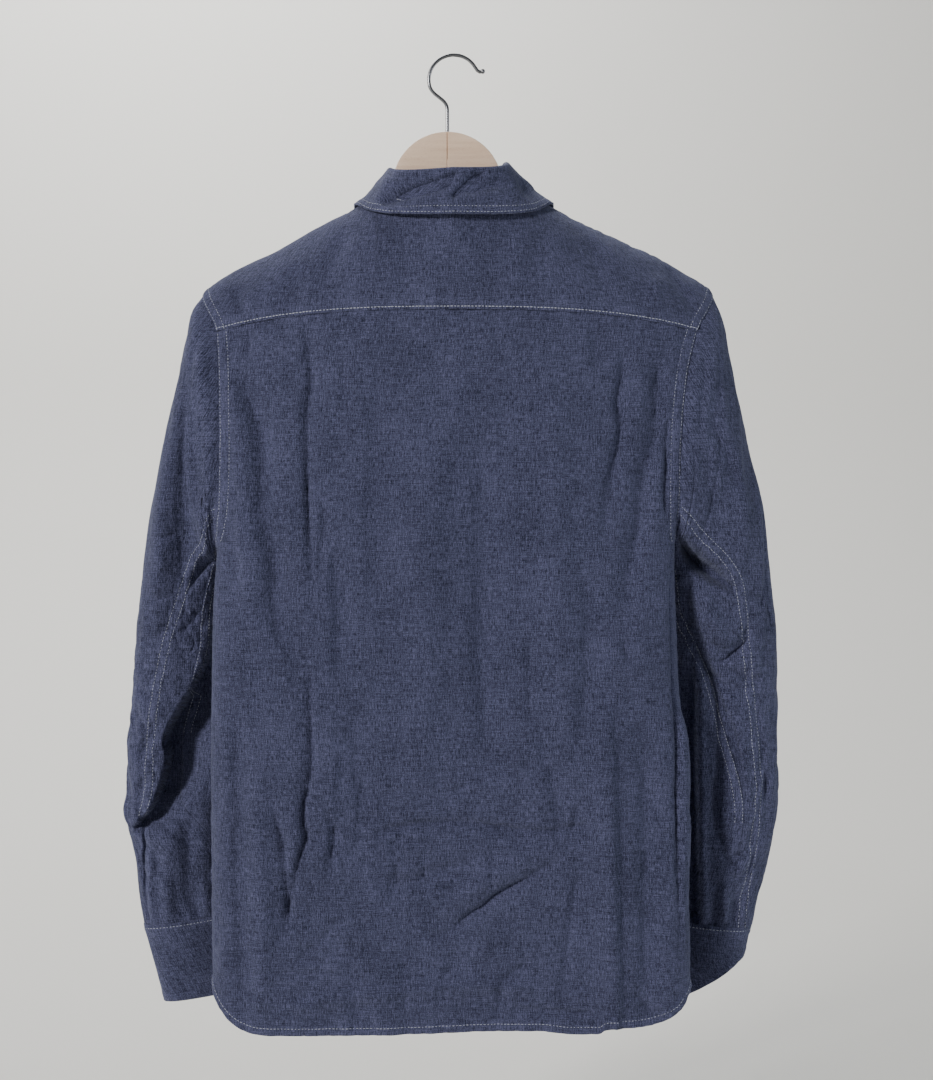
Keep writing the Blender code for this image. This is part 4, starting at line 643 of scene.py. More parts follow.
def back_seam_drop(share):
    return BACK_SEAM_DROP + BACK_SEAM_FALL * np.abs(share) ** 3


def hem_drop(share):
    turn = np.clip((np.abs(share) - HEM_CORNER_START) / (1 - HEM_CORNER_START), 0, 1)
    return HEM_DROP - HEM_CORNER_RISE * turn ** 3


def front_top_drop(x, share_edge):
    """Top of a front: the neckline to the yoke's corner, then the front yoke seam."""
    out = np.clip((np.abs(x) - YOKE_CORNER_X) / (share_edge - YOKE_CORNER_X), 0, 1)
    seam = YOKE_CORNER_DROP + (FRONT_SEAM_DROP - YOKE_CORNER_DROP) * out
    return np.where(np.abs(x) < YOKE_CORNER_X, front_neck_drop(x), seam)


def underlap(x, side, amount):
    """How far inward the right side's pieces pass under the left's, at the centre."""
    if side == LEFT:
        return np.zeros(np.shape(x))
    return amount * ease((x + UNDERLAP_START) / (UNDERLAP_START - UNDERLAP_END))


# -------------------- relief on the form
def soft_path(places):
    """A crease's places in metres, on a smooth run through the given ones."""
    given = np.asarray(places, float) * MM
    numbers = np.arange(len(given))
    at = np.linspace(0, len(given) - 1, (len(given) - 1) * PATH_STEPS + 1)
    return np.stack([smooth(at, numbers, given[:, k]) for k in range(4)], axis=1)


def beside_path(x, drop, path, reach):
    """Which places are near a path, and for those the nearest part of it: how far away,
    on which side (more on the wearer's left of a path that runs down), width and depth."""
    near = ((x > path[:, 0].min() - reach) & (x < path[:, 0].max() + reach)
            & (drop > path[:, 1].min() - reach) & (drop < path[:, 1].max() + reach))
    if not near.any():
        return near, 0, 0, 0, 0
    start, run = path[:-1], np.diff(path, axis=0)
    length = np.maximum(run[:, 0] ** 2 + run[:, 1] ** 2, 1e-12)
    off_x = x[near][:, None] - start[:, 0]
    off_drop = drop[near][:, None] - start[:, 1]
    along = np.clip((off_x * run[:, 0] + off_drop * run[:, 1]) / length, 0, 1)
    off_x = off_x - along * run[:, 0]
    off_drop = off_drop - along * run[:, 1]
    away = np.hypot(off_x, off_drop)
    pick = np.arange(len(away)), np.argmin(away, axis=1)
    side = np.sign((off_x * run[:, 1] - off_drop * run[:, 0])[pick])
    return (near, away[pick], side, (start[:, 2] + along * run[:, 2])[pick],
            (start[:, 3] + along * run[:, 3])[pick])


def crease_height(x, drop, table, times=1.0):
    """How far the creases move the cloth at each place, out (more) or in (less)."""
    height = np.zeros(x.shape)
    for crease in table:
        path = soft_path(crease.places)
        reach = CREASE_REACH * path[:, 2].max() * (1 + abs(crease.lean))
        near, away, side, width, deep = beside_path(x, drop, path, reach)
        width = width * (1 + crease.lean * side)
        height[near] -= deep * times * np.exp(-(away / np.maximum(width, 1e-6)) ** crease.sharp)
    return height


def fold_height(x, drop, table):
    """How far the cloth falls away beside a fold's edge, to come back over the tail."""
    height = np.zeros(x.shape)
    for fold in table:
        path = soft_path(fold.places)
        reach = FOLD_REACH * path[:, 2].max()
        near, away, side, tail, deep = beside_path(x, drop, path, reach)
        fallen = np.maximum(away * side * fold.side, 0)
        back_up = np.exp(-(fallen / np.maximum(tail, 1e-6)) ** 3)
        height[near] -= deep * ease(fallen / FOLD_EDGE) * back_up
    return height


UNEVEN_CELLS = 64          # bumps each way before the pattern repeats


def uneven(a, b, cell_a, cell_b, seed):
    """Smooth unevenness from -1 to 1, with bumps of the given sizes."""
    heights = np.random.default_rng(seed).uniform(-1, 1, (UNEVEN_CELLS, UNEVEN_CELLS))
    a, b = np.broadcast_arrays(a / cell_a, b / cell_b)
    i, j = np.floor(a).astype(int), np.floor(b).astype(int)
    s, t = ease(a - i), ease(b - j)
    i0, i1, j0, j1 = (number % UNEVEN_CELLS for number in (i, i + 1, j, j + 1))
    low = heights[i0, j0] * (1 - s) + heights[i1, j0] * s
    high = heights[i0, j1] * (1 - s) + heights[i1, j1] * s
    return low * (1 - t) + high * t


# Size across, size down, height, all in millimetres: how washed cloth never lies smooth.
RUMPLES = ((64, 150, 1.2), (23, 64, 0.75), (34, 19, 0.32), (10, 24, 0.30), (5.2, 9, 0.09))
CRINKLE_DEPTH = 0.0015
CRUMPLE_HEIGHT = 0.0030


def rumple(a, b, seed, strength=1.0):
    total = 0.0
    for number, (across, down, high) in enumerate(RUMPLES):
        total = total + high * MM * uneven(a, b, across * MM, down * MM, seed + number)
    return total * strength


def crinkle(a, b, seed, strength=1.0, across=0.021, down=0.052, sharp=0.15):
    """Thin short creases, here and there, as in cloth that has dried on its hanger."""
    place = (uneven(a, b, across, down, seed)
             + 0.55 * uneven(a, b, 0.4 * across, 0.3 * down, seed + 1))
    where = np.clip(0.35 + 1.3 * uneven(a, b, 0.070, 0.095, seed + 2), 0, 1)
    return -CRINKLE_DEPTH * strength * np.exp(-(place / sharp) ** 2) * where


def crumple(a, b, seed, strength=1.0):
    """Rounded swellings that meet in sharp slanting hollows, as where sleeves have been creased."""
    slant, along = 0.86 * a + 0.42 * b, 0.90 * b - 0.36 * a
    place = (uneven(slant, along, 0.017, 0.041, seed)
             + 0.55 * uneven(slant, along, 0.0085, 0.019, seed + 1))
    where = np.clip(0.55 + 0.9 * uneven(a, b, 0.055, 0.080, seed + 2), 0.1, 1)
    return CRUMPLE_HEIGHT * strength * (np.abs(place) ** 0.8 - 0.4) * where


def pucker(away, along, seed, high=0.00042, reach=0.010):
    """Short ripples across a seam, drawn up by its thread."""
    ripple = (uneven(along, away, 0.0062, 0.011, seed)
              + 0.6 * uneven(along, away, 0.0031, 0.008, seed + 1))
    return high * ripple * np.exp(-(np.abs(away) / reach) ** 1.4)


def fell(away, width=FELL_WIDTH, rise=0.0006):
    """The raised turnings of a felled seam beside a panel's edge."""
    return rise * (1 - ease((away - width) / FELL_EDGE))


def stitched(away, *rows):
    """Dips along rows of stitches at these distances from a seam."""
    return -sum(STITCH_DIP * np.exp(-((away - row) / STITCH_DIP_WIDTH) ** 2) for row in rows)


def still_beside(away, reach=0.012):
    """0 on a seam, which holds the cloth still, 1 away from it."""
    return ease(away / reach)


# -------------------- grids on the form
# points is rows x columns x 3; u and v are the cloth's own distances across and down.
Grid = namedtuple("Grid", "points u v")


def fine_places(length, count, start=True, end=True):
    """Places along a length: close together beside its seams, even between."""
    first = np.linspace(0, FINE_EDGE, FINE_CELLS + 1) if start else np.zeros(1)
    last = length - (first[::-1] if start == end else
                     np.linspace(0, FINE_EDGE, FINE_CELLS + 1)[::-1] if end else np.zeros(1))
    middle = np.linspace(first[-1], last[0], count - (len(first) - 1) - (len(last) - 1) + 1)
    return np.concatenate([first, middle[1:-1], last])


def lengths(points, axis=0):
    """Distances along a run of points, from its first."""
    step = np.linalg.norm(np.diff(points, axis=axis), axis=-1)
    start = np.zeros_like(np.take(step, [0], axis=axis))
    return np.concatenate([start, np.cumsum(step, axis=axis)], axis=axis)


def divide(x, drop, face, count, start=True, end=True):
    """Divide a row along the cloth, and give the divisions' x and drop."""
    along = lengths(body_point(x, drop, face))
    at = fine_places(along[-1], count, start, end)
    return np.interp(at, along, x), np.interp(at, along, drop)


def reach_out(start, end, power=3):
    """Places between two distances, closer together towards the end."""
    return end - (end - start) * (1 - np.linspace(0, 1, DENSE)) ** power


def grid_of(points, middle_x=None):
    """A grid with its cloth distances; u is 0 where the first row crosses middle_x."""
    points = np.asarray(points, float)
    u = lengths(points, axis=1)
    v = lengths(points, axis=0)
    if middle_x is not None:
        column_there = int(np.argmin(np.abs(points[len(points) // 2, :, 0] - middle_x)))
        u = u - u[:, column_there:column_there + 1]
    return Grid(points, u, v)


def back_grid():
    low_edge = float(hem_drop(1))
    top_edge = float(back_seam_drop(1))
    height = HEM_DROP - BACK_SEAM_DROP
    rows = []
    wave = np.array(HEM_WAVE) * MM
    for row in fine_places(height, PANEL_ROWS) / height:
        x, drop = [], []
        for side in (LEFT, RIGHT):
            reach = float(edge_x(top_edge + row * (low_edge - top_edge), side))
            out = reach_out(0.0, reach)
            top = back_seam_drop(out / reach)
            x.append(side * out)
            drop.append(top + row * (hem_drop(out / reach) - top))
        x = np.concatenate([x[0][::-1], x[1][1:]])
        drop = np.concatenate([drop[0][::-1], drop[1][1:]])
        x, drop = divide(x, drop, BACK, PANEL_COLUMNS)
        drop = drop + row ** 6 * smooth(x, wave[:, 0], wave[:, 1])
        rows.append(body_point(x, drop, BACK))
    return grid_of(rows, 0.0)


def front_outline(side, row):
    """One row of a front, from its armhole or side seam to its centre edge."""
    low_edge = float(hem_drop(1))
    reach = float(edge_x(FRONT_SEAM_DROP + row * (low_edge - FRONT_SEAM_DROP), side))
    out = reach_out(YOKE_CORNER_X, reach)[::-1]
    inner = np.linspace(YOKE_CORNER_X, -PLACKET_EDGE, DENSE // 2)[1:]
    x = np.concatenate([out, inner])
    top = front_top_drop(x, reach)
    return side * x, top + row * (hem_drop(x / reach) - top)


def front_grid(side):
    height = HEM_DROP - FRONT_SEAM_DROP
    rows = []
    for row in fine_places(height, FRONT_ROWS) / height:
        x, drop = front_outline(side, row)
        x, drop = divide(x, drop, FRONT, FRONT_COLUMNS)
        points = body_point(x, drop, FRONT)
        points[:, 1] += underlap(x, side, CLOTH_WALL + TOUCH_GAP)
        rows.append(points)
    return grid_of(rows)


def placket_grid():
    height = HEM_DROP - FRONT_SEAM_DROP
    x = np.linspace(PLACKET_WIDTH - PLACKET_EDGE, -PLACKET_EDGE, PLACKET_COLUMNS + 1)
    rows = []
    for row in fine_places(height, FRONT_ROWS) / height:
        every_x, every_drop = front_outline(LEFT, row)
        points = body_point(x, np.interp(-x, -every_x, every_drop), FRONT)
        points[:, 1] -= CLOTH_WALL + TOUCH_GAP
        rows.append(points)
    return grid_of(rows)


def down_the_yoke(top_x, top_drop, low_x, low_drop, face, side):
    """Columns from the ridge or neckline down to a seam, divided along the cloth."""
    fall = (np.linspace(0, 1, DENSE) ** 2.5)[:, None]
    drop = top_drop + fall * (low_drop - top_drop)
    x = top_x + fall * (low_x - top_x)
    if side:
        out = (np.abs(top_x) - abs(top_x[0])) / (abs(top_x[-1]) - abs(top_x[0]))
        x = x + (side * edge_x(drop[:, -1:], side) - x[:, -1:]) * out ** 2
        if face == FRONT:
            x = x + (side * front_neck_x(drop[:, :1]) - x[:, :1]) * (1 - out) ** 2
    along = lengths(body_point(x, drop, face))
    columns = []
    for j in range(x.shape[1]):
        at = fine_places(along[-1, j], YOKE_ROWS, start=False)
        there_x = np.interp(at, along[:, j], x[:, j])
        there_drop = np.interp(at, along[:, j], drop[:, j])
        columns.append(body_point(there_x, there_drop, face))
    return np.stack(columns, axis=1)


def yoke_grids():
    """The yoke's grids, all from its seam with the back upwards: the middle, and each
    shoulder from the neck outwards and over to the seam with the front."""
    seam_reach = {side: float(edge_x(float(back_seam_drop(1)), side)) for side in (LEFT, RIGHT)}
    x = np.linspace(NECK_HALF, -NECK_HALF, NECK_COLUMNS + 1)
    share = x / np.where(x >= 0, seam_reach[LEFT], seam_reach[RIGHT])
    middle = down_the_yoke(x, back_neck_drop(x), x, back_seam_drop(share), BACK, 0)[::-1]
    grids = {"middle": grid_of(middle, 0.0)}
    for side in (LEFT, RIGHT):
        out = reach_out(NECK_HALF, seam_reach[side])
        seam_x, seam_drop = divide(side * out, back_seam_drop(out / seam_reach[side]), BACK,
                                   YOKE_COLUMNS, start=False)
        front_x, front_drop = front_outline(side, 0.0)
        outside = side * front_x >= YOKE_CORNER_X
        front_x, front_drop = divide(front_x[outside][::-1], front_drop[outside][::-1], FRONT,
                                     YOKE_COLUMNS, start=False)
        tip = float(edge_x(TIP_DROP, side))
        share = fine_places(tip - NECK_HALF, YOKE_COLUMNS, start=False) / (tip - NECK_HALF)
        top_x = NECK_HALF + share * (tip - NECK_HALF)
        top_drop = ridge_drop(top_x, side)
        back = down_the_yoke(side * top_x, top_drop, seam_x, seam_drop, BACK, side)[::-1]
        front = down_the_yoke(side * top_x, top_drop, front_x, front_drop, FRONT, side)
        grid = grid_of(np.concatenate([back, front[1:]]))
        beside = grids["middle"].u[:, 0 if side == LEFT else -1]
        start = np.concatenate([beside, np.full(len(front) - 1, beside[-1])])
        grids[side] = Grid(grid.points, start[:, None] - side * grid.u, grid.v)
    return grids


def neckline(start, end, count, tuck=0.0):
    """The neckline from the left front's edge round the back to the right's, and how
    far along it each point is; the right end is tucked in under the left."""
    t = np.linspace(0, 1, DENSE)
    left_x = NECK_HALF - (NECK_HALF - start) * (1 - t) ** 2
    back_x = NECK_HALF * np.sin(np.linspace(math.pi / 2, -math.pi / 2, 2 * DENSE))[1:-1]
    right_x = -NECK_HALF + (NECK_HALF + end) * t ** 2
    right = body_point(right_x, front_neck_drop(right_x), FRONT)
    right[:, 1] += underlap(right_x, RIGHT, tuck)
    ring = np.concatenate([body_point(left_x, front_neck_drop(left_x), FRONT),
                           body_point(back_x, back_neck_drop(back_x), BACK), right])
    along = lengths(ring)
    middle = along[DENSE + len(back_x) // 2]
    at = fine_places(along[-1], count)
    ring = np.stack([np.interp(at, along, ring[:, k]) for k in range(3)], axis=1)
    return ring, at, middle


def outward(points):
    """Level direction away from the neck's middle."""
    return unit(points * (1.0, 1.0, 0.0))


def stand_rise(ring):
    """From each point of the neckline up the stand, which leans in at the sides."""
    out = ring[:, 0] / NECK_HALF
    lean = np.where(out >= 0, *STAND_LEAN)
    rise = np.zeros(ring.shape)
    rise[:, 0] = -ring[:, 0] * (1 - lean) * out ** 2
    rise[:, 2] = STAND_HEIGHT + STAND_TILT * out + STAND_EXTRA * (ring[:, 1] / NECK_DEPTH) ** 2
    return rise


def stand_grid():
    ring, _, _ = neckline(-PLACKET_EDGE, PLACKET_EDGE, COLLAR_COLUMNS, BAND_WALL + 2 * TOUCH_GAP)
    rise = stand_rise(ring)
    share = fine_places(1.0, STAND_ROWS, False, False)
    return grid_of([ring + rise * t for t in share])


def collar_edge(share, side):
    x, y, drop = (read(COLLAR_EDGE, "share", name, share) for name in ("x", "y", "drop"))
    return np.stack([side * x, y, -drop], axis=-1)


def collar_grid():
    ring, at, middle = neckline(COLLAR_OPENING, -COLLAR_OPENING, COLLAR_COLUMNS)
    rise = stand_rise(ring)
    up = unit(rise)
    level = outward(ring)
    away = unit(level - up * np.sum(level * up, axis=1, keepdims=True))
    share = np.clip(np.abs(at - middle) / np.where(at < middle, middle, at[-1] - middle), 0, 1)
    edge = np.where((at <= middle)[:, None], collar_edge(share, LEFT), collar_edge(share, RIGHT))
    inner = ring + rise - up * FOLD_ROLL
    rows = [inner]
    for turn in np.linspace(0, math.pi, COLLAR_ROLL_ROWS + 1):
        rows.append(ring + rise + away * FOLD_ROLL * (1 - math.cos(turn))
                    + up * FOLD_ROLL * math.sin(turn))
    outer = rows[-1]
    for t in fine_places(1.0, COLLAR_LEAF_ROWS, False, False)[1:]:
        leaf = outer + (edge - outer) * t
        over_body = ease((-leaf[:, 2:] - NECK_DROP + 0.016) / 0.022)
        rows.append(leaf + (stand_clear(leaf, COLLAR_LIFT) - leaf) * over_body)
    return grid_of(rows, 0.0)


# -------------------- sleeves and cuffs
def ring_point(ring, degrees, side):
    """A place on a sleeve ring; ring holds one value per place in each column."""
    turn = np.radians(degrees)
    power = 2 / ring["fullness"]
    along = np.sign(np.cos(turn)) * np.abs(np.cos(turn)) ** power
    across = np.sign(np.sin(turn)) * np.abs(np.sin(turn)) ** power
    x = (ring["outer"] + ring["inner"]) / 2 + along * (ring["outer"] - ring["inner"]) / 2
    drop = ((ring["outer_drop"] + ring["inner_drop"]) / 2
            + along * (ring["outer_drop"] - ring["inner_drop"]) / 2)
    x = x - ring["waist"] * np.sin(turn) ** 2
    drop = drop + ring["sag"] * np.sin(turn) ** 2
    middle = (ring["outer_drop"] + ring["inner_drop"]) / 2
    turned = SLEEVE_TURN[side] * ease((middle - SLEEVE_TURN_FROM) / SLEEVE_TURN_OVER)
    y = (ring["centre_y"] + ring["half_depth"] * across
         + turned * (along - SLEEVE_PIVOT[side]) * (ring["outer"] - ring["inner"]) / 2)
    return np.stack([side * x, y, -drop], axis=-1)


def arm_loop(degrees, side):
    """The armhole seam, at an angle from the shoulder tip by way of the back."""
    drop = ARM_MIDDLE - ARM_HALF_DROP * np.cos(np.radians(degrees))
    x = side * edge_x(drop, side)
    behind = (np.sin(np.radians(degrees)) >= 0)[:, None]
    return np.where(behind, body_point(x, drop, BACK), body_point(x, drop, FRONT))


def ring_at(rings, at, count):
    numbers = np.arange(len(rings))
    return {name: np.full(count, float(smooth(at, numbers, column(rings, name))))
            for name in Ring._fields}


def sleeve_grid(side):
    """The whole sleeve, from its under seam by way of the front and the outer side to
    its back seam, then the under piece on to the under seam again."""
    rings, _ = ARMS[side]
    centre = np.array([((r.outer + r.inner) / 2, (r.outer_drop + r.inner_drop) / 2) for r in rings])
    along = lengths(centre)
    numbers = np.interp(fine_places(along[-1], SLEEVE_ROWS), along, np.arange(len(rings)))
    top, under = (crowd(fine_places(1.0, count, False, False))
                  for count in (SLEEVE_TOP_COLUMNS, SLEEVE_UNDER_COLUMNS))
    rows, turns = [], []
    for at in numbers:
        seams = ring_at(rings, at, 1)
        back_seam, under_seam = float(seams["back_seam"][0]), float(seams["under_seam"][0])
        degrees = np.concatenate([under_seam + top * (back_seam + 360 - under_seam),
                                  back_seam + 360 + under[1:] * (under_seam - back_seam)])
        points = ring_point(ring_at(rings, at, len(degrees)), degrees, side)
        nearby = max(1 - at, 0) ** 2
        if nearby:
            first = ring_at(rings, 0.0, len(degrees))
            points = points + (arm_loop(degrees, side) - ring_point(first, degrees, side)) * nearby
        rows.append(points)
        turns.append(degrees)
    rows[0] = rows[0] - unit(rows[1] - rows[0]) * TUCK
    return grid_of(rows), np.array(turns)


def crowd(places, share=0.06, power=0.55):
    """Draw even places between two seams a little towards the seams."""
    return places - share * np.sin(2 * math.pi * places) * power


def cuff_grid(side):
    """A cuff from just over the sleeve's end to its own edge, lapped at the inner front."""
    rings, end = ARMS[side]
    first = CUFF_LAP_START[side]
    degrees = np.linspace(first, first + 360 + CUFF_LAP, CUFF_COLUMNS + 1)
    from_start = np.clip((degrees - first) / CUFF_LAP, 0, 1)
    to_end = np.clip((first + 360 + CUFF_LAP - degrees) / CUFF_LAP, 0, 1)
    step_out = (BAND_WALL + 2 * TOUCH_GAP) / 2
    offset = step_out * ((1 - to_end) - (1 - from_start))
    rows = []
    for t in fine_places(1.0, CUFF_ROWS, False, False):
        ring = {name: np.full(len(degrees), (1 - t) * start + t * stop)
                for name, start, stop in zip(Ring._fields, rings[-1], end)}
        points = ring_point(ring, degrees, side)
        away = unit((points - points.mean(axis=0)) * (1.0, 1.0, 0.0))
        rows.append(points + away * offset[:, None])
    rows[0] = rows[0] - unit(rows[1] - rows[0]) * TUCK
    return grid_of(rows)


# -------------------- normals and moves
def grid_normals(points, closed=False):
    """Unit normals of a grid, along the cross of its rows and columns."""
    down = np.gradient(points, axis=0)
    if closed:
        ring = points[:, :-1]
        across = (np.roll(ring, -1, axis=1) - np.roll(ring, 1, axis=1)) / 2
        across = np.concatenate([across, across[:, :1]], axis=1)
    else:
        across = np.gradient(points, axis=1)
    return unit(np.cross(across, down))


def outward_normals(points, closed=False):
    """The same, turned away from the middle of each row."""
    normals = grid_normals(points, closed)
    away = points - points.mean(axis=1, keepdims=True)
    if np.sum(normals * away) < 0:
        normals = -normals
    return normals


def grid_between(grid, line, distance, axis):
    """Fractional places in a grid at a distance from one of its lines: down its columns
    (axis 0) from a row, or along its rows (axis 1) from a column.  From the last line,
    -1, the distance counts back."""
    points = grid if axis == 0 else np.swapaxes(grid, 0, 1)
    along = lengths(points)
    reach = along[line] + (-distance if line < 0 else distance)
    numbers = np.arange(len(along))
    return np.array([np.interp(there, column_along, numbers)
                     for there, column_along in zip(reach, along.T)])


def read_grid(values, places, axis):
    """Values of a grid at fractional places, one on each of its columns or rows."""
    values = values if axis == 0 else np.swapaxes(values, 0, 1)
    low = np.clip(np.floor(places).astype(int), 0, len(values) - 2)
    t = (places - low)[:, None]
    columns = np.arange(values.shape[1])
    return values[low, columns] * (1 - t) + values[low + 1, columns] * t


# -------------------- settings
def linear(colour):
    """A hex sRGB colour in the linear values that shaders work in."""
    parts = [int(colour[i:i + 2], 16) / 255 for i in (1, 3, 5)]
    return tuple(c / 12.92 if c <= 0.04045 else ((c + 0.055) / 1.055) ** 2.4 for c in parts)


def colour_setting(name, description, colour):
    return FloatVectorProperty(name=name, description=description, subtype="COLOR", size=3,
                               min=0.0, max=1.0, default=linear(colour))


def length_setting(name, description, metres):
    return FloatProperty(name=name, description=description, unit="LENGTH", min=0.0,
                         precision=5, default=metres)


def power_setting(name, description, watts):
    return FloatProperty(name=name, description=description, subtype="POWER", min=0.0,
                         default=watts)


class ShirtClothSettings(bpy.types.PropertyGroup):
    wall: length_setting("Cloth wall", "Thickness of one layer of chambray", CLOTH_WALL)
    band_wall: length_setting("Band wall", "Thickness of collar, stand and cuffs", BAND_WALL)
    rumple: FloatProperty(name="Rumple", description="How far washed cloth is from smooth",
                          min=0.0, max=3.0, subtype="FACTOR", default=1.0)
    dark_yarn: colour_setting("Dark yarn", "Indigo-dyed warp", "#1B1E32")
    pale_yarn: colour_setting("Pale yarn", "Weft, and the worn tops of slubs", "#646788")


class ShirtThreadSettings(bpy.types.PropertyGroup):
    pitch: length_setting("Stitch pitch", "From one stitch to the next", 0.0031)
    stitch: length_setting("Stitch length", "What shows of one stitch", 0.0024)
    width: length_setting("Thread width", "Across one stitch", 0.00052)
    colour: colour_setting("Thread", "Sewing thread", "#C2C7D4")


class ShirtButtonSettings(bpy.types.PropertyGroup):
    radius: length_setting("Radius", "Of a button", 0.0056)
    thick: length_setting("Thickness", "Of a button at its rim", 0.0028)
    hole: length_setting("Hole", "Radius of each of the four holes", 0.00085)
    colour: colour_setting("Colour", "Cast polyester", "#2B2522")


class ShirtHangerSettings(bpy.types.PropertyGroup):
    half_thick: length_setting("Half thickness", "Of the wooden arms", WOOD_HALF_THICK)
    edge_round: length_setting("Edge radius", "Of the arms' long edges", 0.0042)
    wire: length_setting("Wire radius", "Of the hook", 0.0016)
    wood: colour_setting("Beech", "Planed beech", "#EED3B9")
    wood_dark: colour_setting("Beech grain", "Darker grain and ray flecks", "#D5B395")
    steel: colour_setting("Steel", "Bright plated wire", "#7E7F82")


class ShirtStageSettings(bpy.types.PropertyGroup):
    floor_drop: length_setting("Floor", "Below the hook's inner top", 1.12)
    backdrop_away: length_setting("Backdrop", "Behind the shirt as it is seen", 2.6)
    cove: length_setting("Cove", "Radius where the paper rises from floor to backdrop", 1.1)
    key: power_setting("Key light", "Power of the large light at the upper left", 335.0)
    fill: power_setting("Fill light", "Power of the wide light by the camera", 26.0)
    backdrop_light: power_setting("Backdrop light", "Power of the light over the backdrop", 90.0)
    paper: colour_setting("Paper", "Matt backdrop and floor", "#DCDBD6")


# -------------------- materials
def plug(tree, target, inputs):
    """Link or fill a node's inputs."""
    for socket, value in inputs.items():
        if isinstance(value, bpy.types.NodeSocket):
            tree.links.new(value, target.inputs[socket])
        else:
            target.inputs[socket].default_value = value


def node(tree, kind, inputs=None, **settings):
    """Add a node, set it, and link or fill its inputs."""
    made = tree.nodes.new("ShaderNode" + kind)
    for name, value in settings.items():
        setattr(made, name, value)
    plug(tree, made, inputs or {})
    return made


def material(name):
    """Make a material on its first use from a function that gives its shader's inputs."""
    def named(inputs_of):
        def look():
            if name not in bpy.data.materials:
                made = bpy.data.materials.new(name)
                made.use_nodes = True
                tree = made.node_tree
                plug(tree, tree.nodes["Principled BSDF"], inputs_of(tree))
            return bpy.data.materials[name]
        return look
    return named


def stretched(tree, place, scale, detail, roughness=0.5, **settings):
    """Noise drawn out by a scale along each axis, from 0 to 1 about 0.5."""
    drawn = node(tree, "Mapping", {"Vector": place, "Scale": scale})
    return node(tree, "TexNoise", {"Vector": drawn.outputs["Vector"], "Scale": 1.0,
                "Detail": detail, "Roughness": roughness}, **settings).outputs["Fac"]


def threads(tree, coordinate, across, down, detail=2.0):
    """Noise drawn out to a thread's size."""
    return stretched(tree, coordinate, (1 / across, 1 / down, 1), detail, 0.6,
                     noise_dimensions="2D")


def clouded(tree, first, second, **noise):
    """A colour that passes from one to another in soft clouds fixed to the piece."""
    place = node(tree, "TexCoord").outputs["Object"]
    cloud = node(tree, "TexNoise", {"Vector": place, **noise})
    return node(tree, "Mix", {"Factor": cloud.outputs["Fac"], "A": (*first, 1),
                "B": (*second, 1)}, data_type="RGBA").outputs["Result"]


def weighed(tree, parts):
    """The sum of (value - 0.5) * weight over the parts."""
    total = None
    for value, weight in parts:
        centred = node(tree, "Math", {0: value, 1: 0.5}, operation="SUBTRACT").outputs[0]
        part = node(tree, "Math", {0: centred, 1: weight}, operation="MULTIPLY").outputs[0]
        if total is not None:
            part = node(tree, "Math", {0: total, 1: part}, operation="ADD").outputs[0]
        total = part
    return total


@material("chambray, woven")
def chambray(tree):
    """Chambray, plain woven from indigo warp and pale weft of uneven ring-spun yarn.

    The eye sees short streaks both ways, where one yarn or the other is thick, on a
    matt blue-grey ground.  One yarn is 0.3 mm, too fine to show, so the streaks are
    drawn about 1 mm wide."""
    cloth = bpy.context.scene.shirt_cloth
    uv = node(tree, "UVMap", uv_map="cloth").outputs["UV"]
    weft = threads(tree, uv, 0.0050, 0.00065)
    warp = threads(tree, uv, 0.00060, 0.0050)
    weft_slub = threads(tree, uv, 0.0240, 0.0009, 1.0)
    warp_slub = threads(tree, uv, 0.0009, 0.0240, 1.0)
    grain = threads(tree, uv, 0.00070, 0.00070, 1.0)
    mottle = threads(tree, uv, 0.0400, 0.0650, 3.0)
    # the relief as colour: paler on raised seams, as wear and painted highlight; darker in stitch
    # dips and sunk edges, as painted shade
    worn = node(tree, "Attribute", attribute_name="wear").outputs["Fac"]
    pale = weighed(tree, ((weft, 0.72), (warp, 1.42), (weft_slub, 0.52), (warp_slub, 0.50),
                          (grain, 1.25), (mottle, 0.34), (worn, 0.16)))
    share = node(tree, "Math", {0: pale, 1: 0.345}, operation="ADD", use_clamp=True)
    relief = weighed(tree, ((weft, 1.0), (warp, 0.9), (weft_slub, 1.2), (warp_slub, 0.9),
                            (grain, 0.9)))
    soft = node(tree, "Bump", {"Height": threads(tree, uv, 0.0075, 0.0150, 3.0),
                "Strength": 1.0, "Distance": 0.0016})
    bump = node(tree, "Bump", {"Height": relief, "Strength": 0.65, "Distance": 0.0006,
                "Normal": soft.outputs["Normal"]})
    colour = node(tree, "Mix", {"Factor": share.outputs[0], "A": (*cloth.dark_yarn, 1),
                  "B": (*cloth.pale_yarn, 1)}, data_type="RGBA")
    return {"Base Color": colour.outputs["Result"], "Normal": bump.outputs["Normal"],
            "Roughness": 0.92, "Specular IOR Level": 0.22, "Sheen Weight": 0.22,
            "Sheen Roughness": 0.45, "Sheen Tint": (0.62, 0.68, 0.92, 1)}


@material("sewing thread, spun")
def sewing_thread(tree):
    """Spun polyester-cotton thread, twisted: pale, matt, its colour a little uneven."""
    pale = bpy.context.scene.shirt_thread.colour
    colour = clouded(tree, [c * 0.62 for c in pale], pale, Scale=900.0, Detail=1.0)
    return {"Base Color": colour, "Roughness": 0.75}


@material("polyester resin, cast")
def cast_button(tree):
    """Cast polyester, tumbled: dark, faintly cloudy, with a soft gloss."""
    dark = bpy.context.scene.shirt_button.colour
    cloudy = [min(c * 3.2 + 0.01, 1) for c in dark]
    colour = clouded(tree, dark, cloudy, Scale=420.0, Detail=3.0, Distortion=1.2)
    return {"Base Color": colour, "Roughness": 0.28, "IOR": 1.54}


